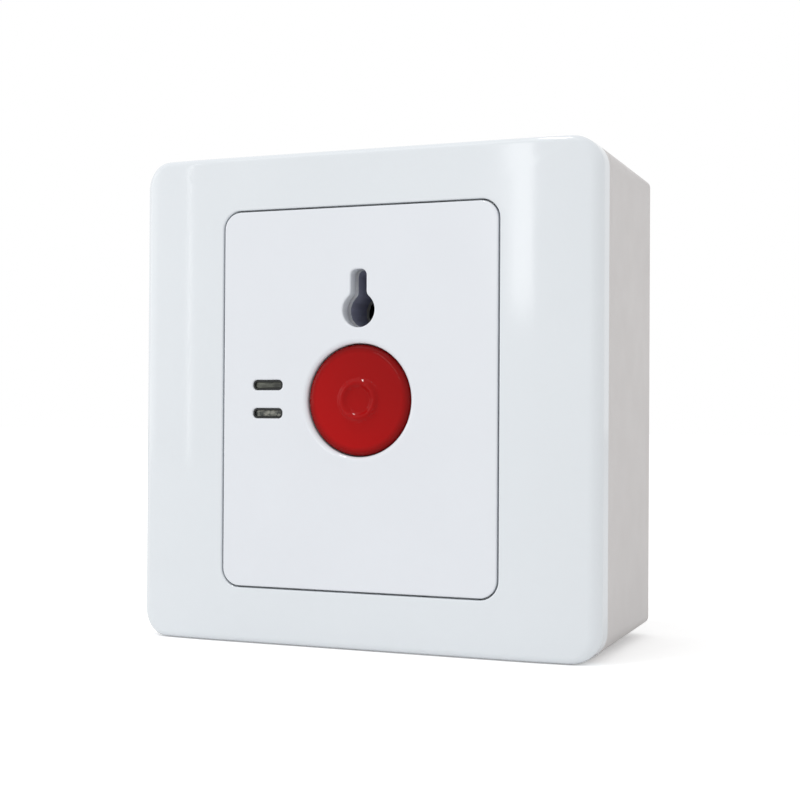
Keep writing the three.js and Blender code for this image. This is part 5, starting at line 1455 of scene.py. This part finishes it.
class STATION_OT_signals(bpy.types.Operator):
    """Makes the signal lights and resistors that show through the windows"""

    bl_idname = "station.signals"
    bl_label = "Signal Lights"

    def execute(self, context):
        for word in ("lower", "upper"):
            self.make_light(f"signal_light_{word}")
            self.make_resistor(f"resistor_{word}")
        return {"FINISHED"}

    def make_light(self, node):
        signals = bpy.context.scene.station.signals
        low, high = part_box(node)
        x, z = (low.x + high.x) / 2, (low.z + high.z) / 2
        bottom, top = -high.y, -low.y
        outline = rounded(high.x - low.x, high.z - low.z, LIGHT_CORNER, x, z)
        dish = round_outline(signals.dish_radius, x, z, DISH_STEPS)
        dish_floor = ring(dish, top - signals.dish_depth, signals.dish_taper)
        skin = Skin()
        rings = edge(outline, top, LIGHT_ROUND)
        skin.fill([ring(outline, bottom)], BACK)
        skin.wrap([ring(outline, bottom), *rings])
        skin.fill([rings[-1], ring(dish, top)], FRONT)
        skin.wrap([ring(dish, top), dish_floor])
        skin.fill([dish_floor], FRONT)
        piece = skin.piece(f"{node}_body", finish_named("lamp_body"))
        settle(piece, "housing", "light_lens", node)
        resin = Skin()
        turns = [math.pi / 2 * i / DOME_STEPS for i in range(DOME_STEPS + 1)]
        crown = [ring(dish, top - DOME_FOOT + DOME_RISE * math.sin(a),
                      DOME_GAP + DOME_REACH * (1 - math.cos(a))) for a in turns]
        base = ring(dish, top - DOME_BASE, DOME_BASE_GAP)
        resin.fill([base], BACK)
        resin.wrap([base, *crown])
        resin.fill([crown[-1]], FRONT)
        lens = resin.piece(f"{node}_resin", finish_named("lamp_resin"))
        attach(lens, "housing")
        self.make_guide(node, top)

    def make_guide(self, node, foot_height):
        """The smoked guide in a window, in its black shade that stands on the light."""
        settings = bpy.context.scene.station
        panel, signals = settings.panel, settings.signals
        word = node.split("_")[-1]
        z = panel.window_z + panel.window_pitch * (0.5 if word == "upper" else -0.5)
        width, height = panel.window_size
        face = -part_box("function_panel")[0].y
        gap, wall = signals.shade_gap, signals.shade_wall
        shade_top = face - signals.shade_sunk

        def window(inset):
            return rounded(width - 2 * inset, height - 2 * inset, panel.window_corner - inset,
                           panel.window_x, z)

        outer, inner = window(gap), window(gap + wall)
        filling = window(gap + wall + GUIDE_GAP)
        rims = edge(outer, shade_top, SHADE_ROUND)
        shade_skin = Skin()
        shade_skin.fill([ring(outer, foot_height), ring(inner, foot_height)], BACK)
        shade_skin.wrap([ring(outer, foot_height), *rims])
        shade_skin.wrap([rims[-1], ring(inner, shade_top)])
        shade_skin.wrap([ring(inner, shade_top), ring(inner, foot_height)])
        shade_piece = shade_skin.piece(f"{node}_shade", finish_named("shade_black"))
        guide = Skin()
        rims = edge(filling, face - signals.guide_sunk, GUIDE_ROUND)
        guide.fill([ring(filling, foot_height)], BACK)
        guide.wrap([ring(filling, foot_height), *rims])
        guide.fill([rims[-1]], FRONT)
        guide_piece = guide.piece(f"{node}_guide", finish_named(f"guide_{word}"))
        for piece in (shade_piece, guide_piece):
            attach(piece, "housing")

    def make_resistor(self, node):
        low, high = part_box(node)
        x, z = (low.x + high.x) / 2, (low.z + high.z) / 2
        bottom, top = -high.y, -low.y
        signals = bpy.context.scene.station.signals
        rise, cap = signals.resistor_rise, signals.resistor_cap
        body = Skin()
        outline = rounded(high.x - low.x - CHIP_SHORTER, high.z - low.z - 2 * rise,
                          CHIP_CORNER, x, z)
        rings = edge(outline, top - rise, CHIP_ROUND)
        body.fill([ring(outline, bottom)], BACK)
        body.wrap([ring(outline, bottom), *rings])
        body.fill([rings[-1]], FRONT)
        piece = body.piece(f"{node}_body", finish_named("chip_body"))
        settle(piece, "housing", "resistor_black", node)
        ends = Skin()
        for side in (-1, 1):
            middle = x + side * ((high.x - low.x) / 2 - cap / 2)
            outline = rounded(cap, high.z - low.z, CAP_CORNER, middle, z)
            rings = edge(outline, top, CAP_ROUND)
            ends.fill([ring(outline, bottom)], BACK)
            ends.wrap([ring(outline, bottom), *rings])
            ends.fill([rings[-1]], FRONT)
        caps = ends.piece(f"{node}_ends", finish_named("solder"))
        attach(caps, "housing")


class STATION_OT_studio(bpy.types.Operator):
    """Sets the floor, the light and the camera"""

    bl_idname = "station.studio"
    bl_label = "Studio"

    def execute(self, context):
        studio = context.scene.station.studio
        self.lay_floor()
        self.light_world(context.scene, studio.surround)
        self.hang_lights()
        self.set_camera(context.scene, studio)
        context.scene.view_settings.view_transform = "Standard"
        return {"FINISHED"}

    def lay_floor(self):
        material = bpy.data.materials.new("pale_floor")
        material.use_nodes = True
        tree = material.node_tree
        tree.nodes.clear()
        plain = add_node(tree, "ShaderNodeBsdfDiffuse", {"Color": (0.93, 0.93, 0.93, 1)})
        glow = add_node(tree, "ShaderNodeEmission", {"Strength": 0.3})
        seen = add_node(tree, "ShaderNodeLightPath").outputs["Is Camera Ray"]
        nothing = add_node(tree, "ShaderNodeEmission", {"Strength": 0.0})
        lift = add_node(tree, "ShaderNodeMixShader", {
            0: seen, 1: nothing.outputs[0], 2: glow.outputs[0]})
        both = add_node(tree, "ShaderNodeAddShader", {
            0: plain.outputs[0], 1: lift.outputs[0]})
        add_node(tree, "ShaderNodeOutputMaterial", {"Surface": both.outputs[0]})
        reach, level = FLOOR_REACH, CAD_BOUNDS[0].z - FLOOR_GAP
        corners = ((-reach, -reach), (reach, -reach), (reach, reach), (-reach, reach))
        mesh = bpy.data.meshes.new("floor")
        mesh.from_pydata([(x, y, level) for x, y in corners], [], [(0, 1, 2, 3)])
        make_piece("floor", mesh, material)

    def light_world(self, scene, strength):
        world = bpy.data.worlds.new("studio")
        world.use_nodes = True
        tree = world.node_tree
        tree.nodes.clear()
        path = add_node(tree, "ShaderNodeLightPath").outputs
        shown = calculate(tree, "MAXIMUM", path["Is Camera Ray"], calculate(
            tree, "MAXIMUM", path["Is Glossy Ray"], path["Is Transmission Ray"]))
        lighting = add_node(tree, "ShaderNodeBackground",
                            {"Color": (1, 1, 1, 1), "Strength": strength})
        white = add_node(tree, "ShaderNodeBackground",
                         {"Color": (1, 1, 1, 1), "Strength": 1.0})
        mix = add_node(tree, "ShaderNodeMixShader", {
            0: shown, 1: lighting.outputs[0], 2: white.outputs[0]})
        add_node(tree, "ShaderNodeOutputWorld", {"Surface": mix.outputs[0]})
        scene.world = world

    def hang_lights(self):
        for name, (azimuth, height, distance, size, brightness) in SOFTBOXES.items():
            data = bpy.data.lights.new(name, "AREA")
            data.shape = "RECTANGLE"
            data.size, data.size_y = size
            data.energy = brightness * math.pi * size[0] * size[1]
            angle = math.radians(azimuth)
            away = Vector((math.sin(angle), -math.cos(angle), 0.0))
            place = away * distance + Vector((0, 0, height))
            lamp = bpy.data.objects.new(name, data)
            lamp.matrix_world = Matrix.Translation(place) @ place.to_track_quat(
                "Z", "Y").to_matrix().to_4x4()
            lamp.visible_camera = False
            bpy.context.scene.collection.objects.link(lamp)

    def set_camera(self, scene, studio):
        azimuth, elevation = studio.azimuth, studio.elevation
        back = Vector((math.sin(azimuth) * math.cos(elevation),
                       -math.cos(azimuth) * math.cos(elevation), math.sin(elevation)))
        level = Vector((math.cos(azimuth), math.sin(azimuth), 0.0))
        upright = back.cross(level)
        right = math.cos(studio.roll) * level + math.sin(studio.roll) * upright
        up = math.cos(studio.roll) * upright - math.sin(studio.roll) * level
        data = bpy.data.cameras.new("camera")
        data.lens = studio.lens
        data.sensor_width = SENSOR_WIDTH
        data.clip_start = NEAREST_SHOWN
        camera = bpy.data.objects.new("camera", data)
        place = Vector(studio.target) + back * studio.distance
        camera.matrix_world = Matrix.Translation(place) @ Matrix(
            (right, up, back)).transposed().to_4x4()
        scene.collection.objects.link(camera)
        scene.camera = camera


STEPS = (
    STATION_OT_finishes,
    STATION_OT_front_frame,
    STATION_OT_panel,
    STATION_OT_button,
    STATION_OT_box,
    STATION_OT_screws,
    STATION_OT_springs,
    STATION_OT_signals,
    STATION_OT_studio,
)


class STATION_PT_sidebar(bpy.types.Panel):
    """Lists the steps that build the alarm station, and its settings"""

    bl_idname = "STATION_PT_sidebar"
    bl_label = "Alarm Station"
    bl_space_type = "VIEW_3D"
    bl_region_type = "UI"
    bl_category = "Station"

    def draw(self, context):
        layout = self.layout
        for step in STEPS:
            layout.operator(step.bl_idname)
        settings = context.scene.station
        for name in settings.__annotations__:
            group = getattr(settings, name)
            box = layout.box()
            box.label(text=name.capitalize())
            for value in group.__annotations__:
                box.prop(group, value)


CLASSES = (
    PlateSettings, PanelSettings, ButtonSettings, BoxSettings, ScrewSettings,
    SpringSettings, SignalSettings, FinishSettings, StudioSettings, StationSettings,
    *STEPS, STATION_PT_sidebar,
)


def register():
    for cls in CLASSES:
        bpy.utils.register_class(cls)
    bpy.types.Scene.station = PointerProperty(type=StationSettings)


def unregister():
    del bpy.types.Scene.station
    for cls in reversed(CLASSES):
        bpy.utils.unregister_class(cls)


def main():
    register()
    for step in STEPS:
        group, name = step.bl_idname.split(".")
        getattr(getattr(bpy.ops, group), name)()


if __name__ == "__main__":
    main()
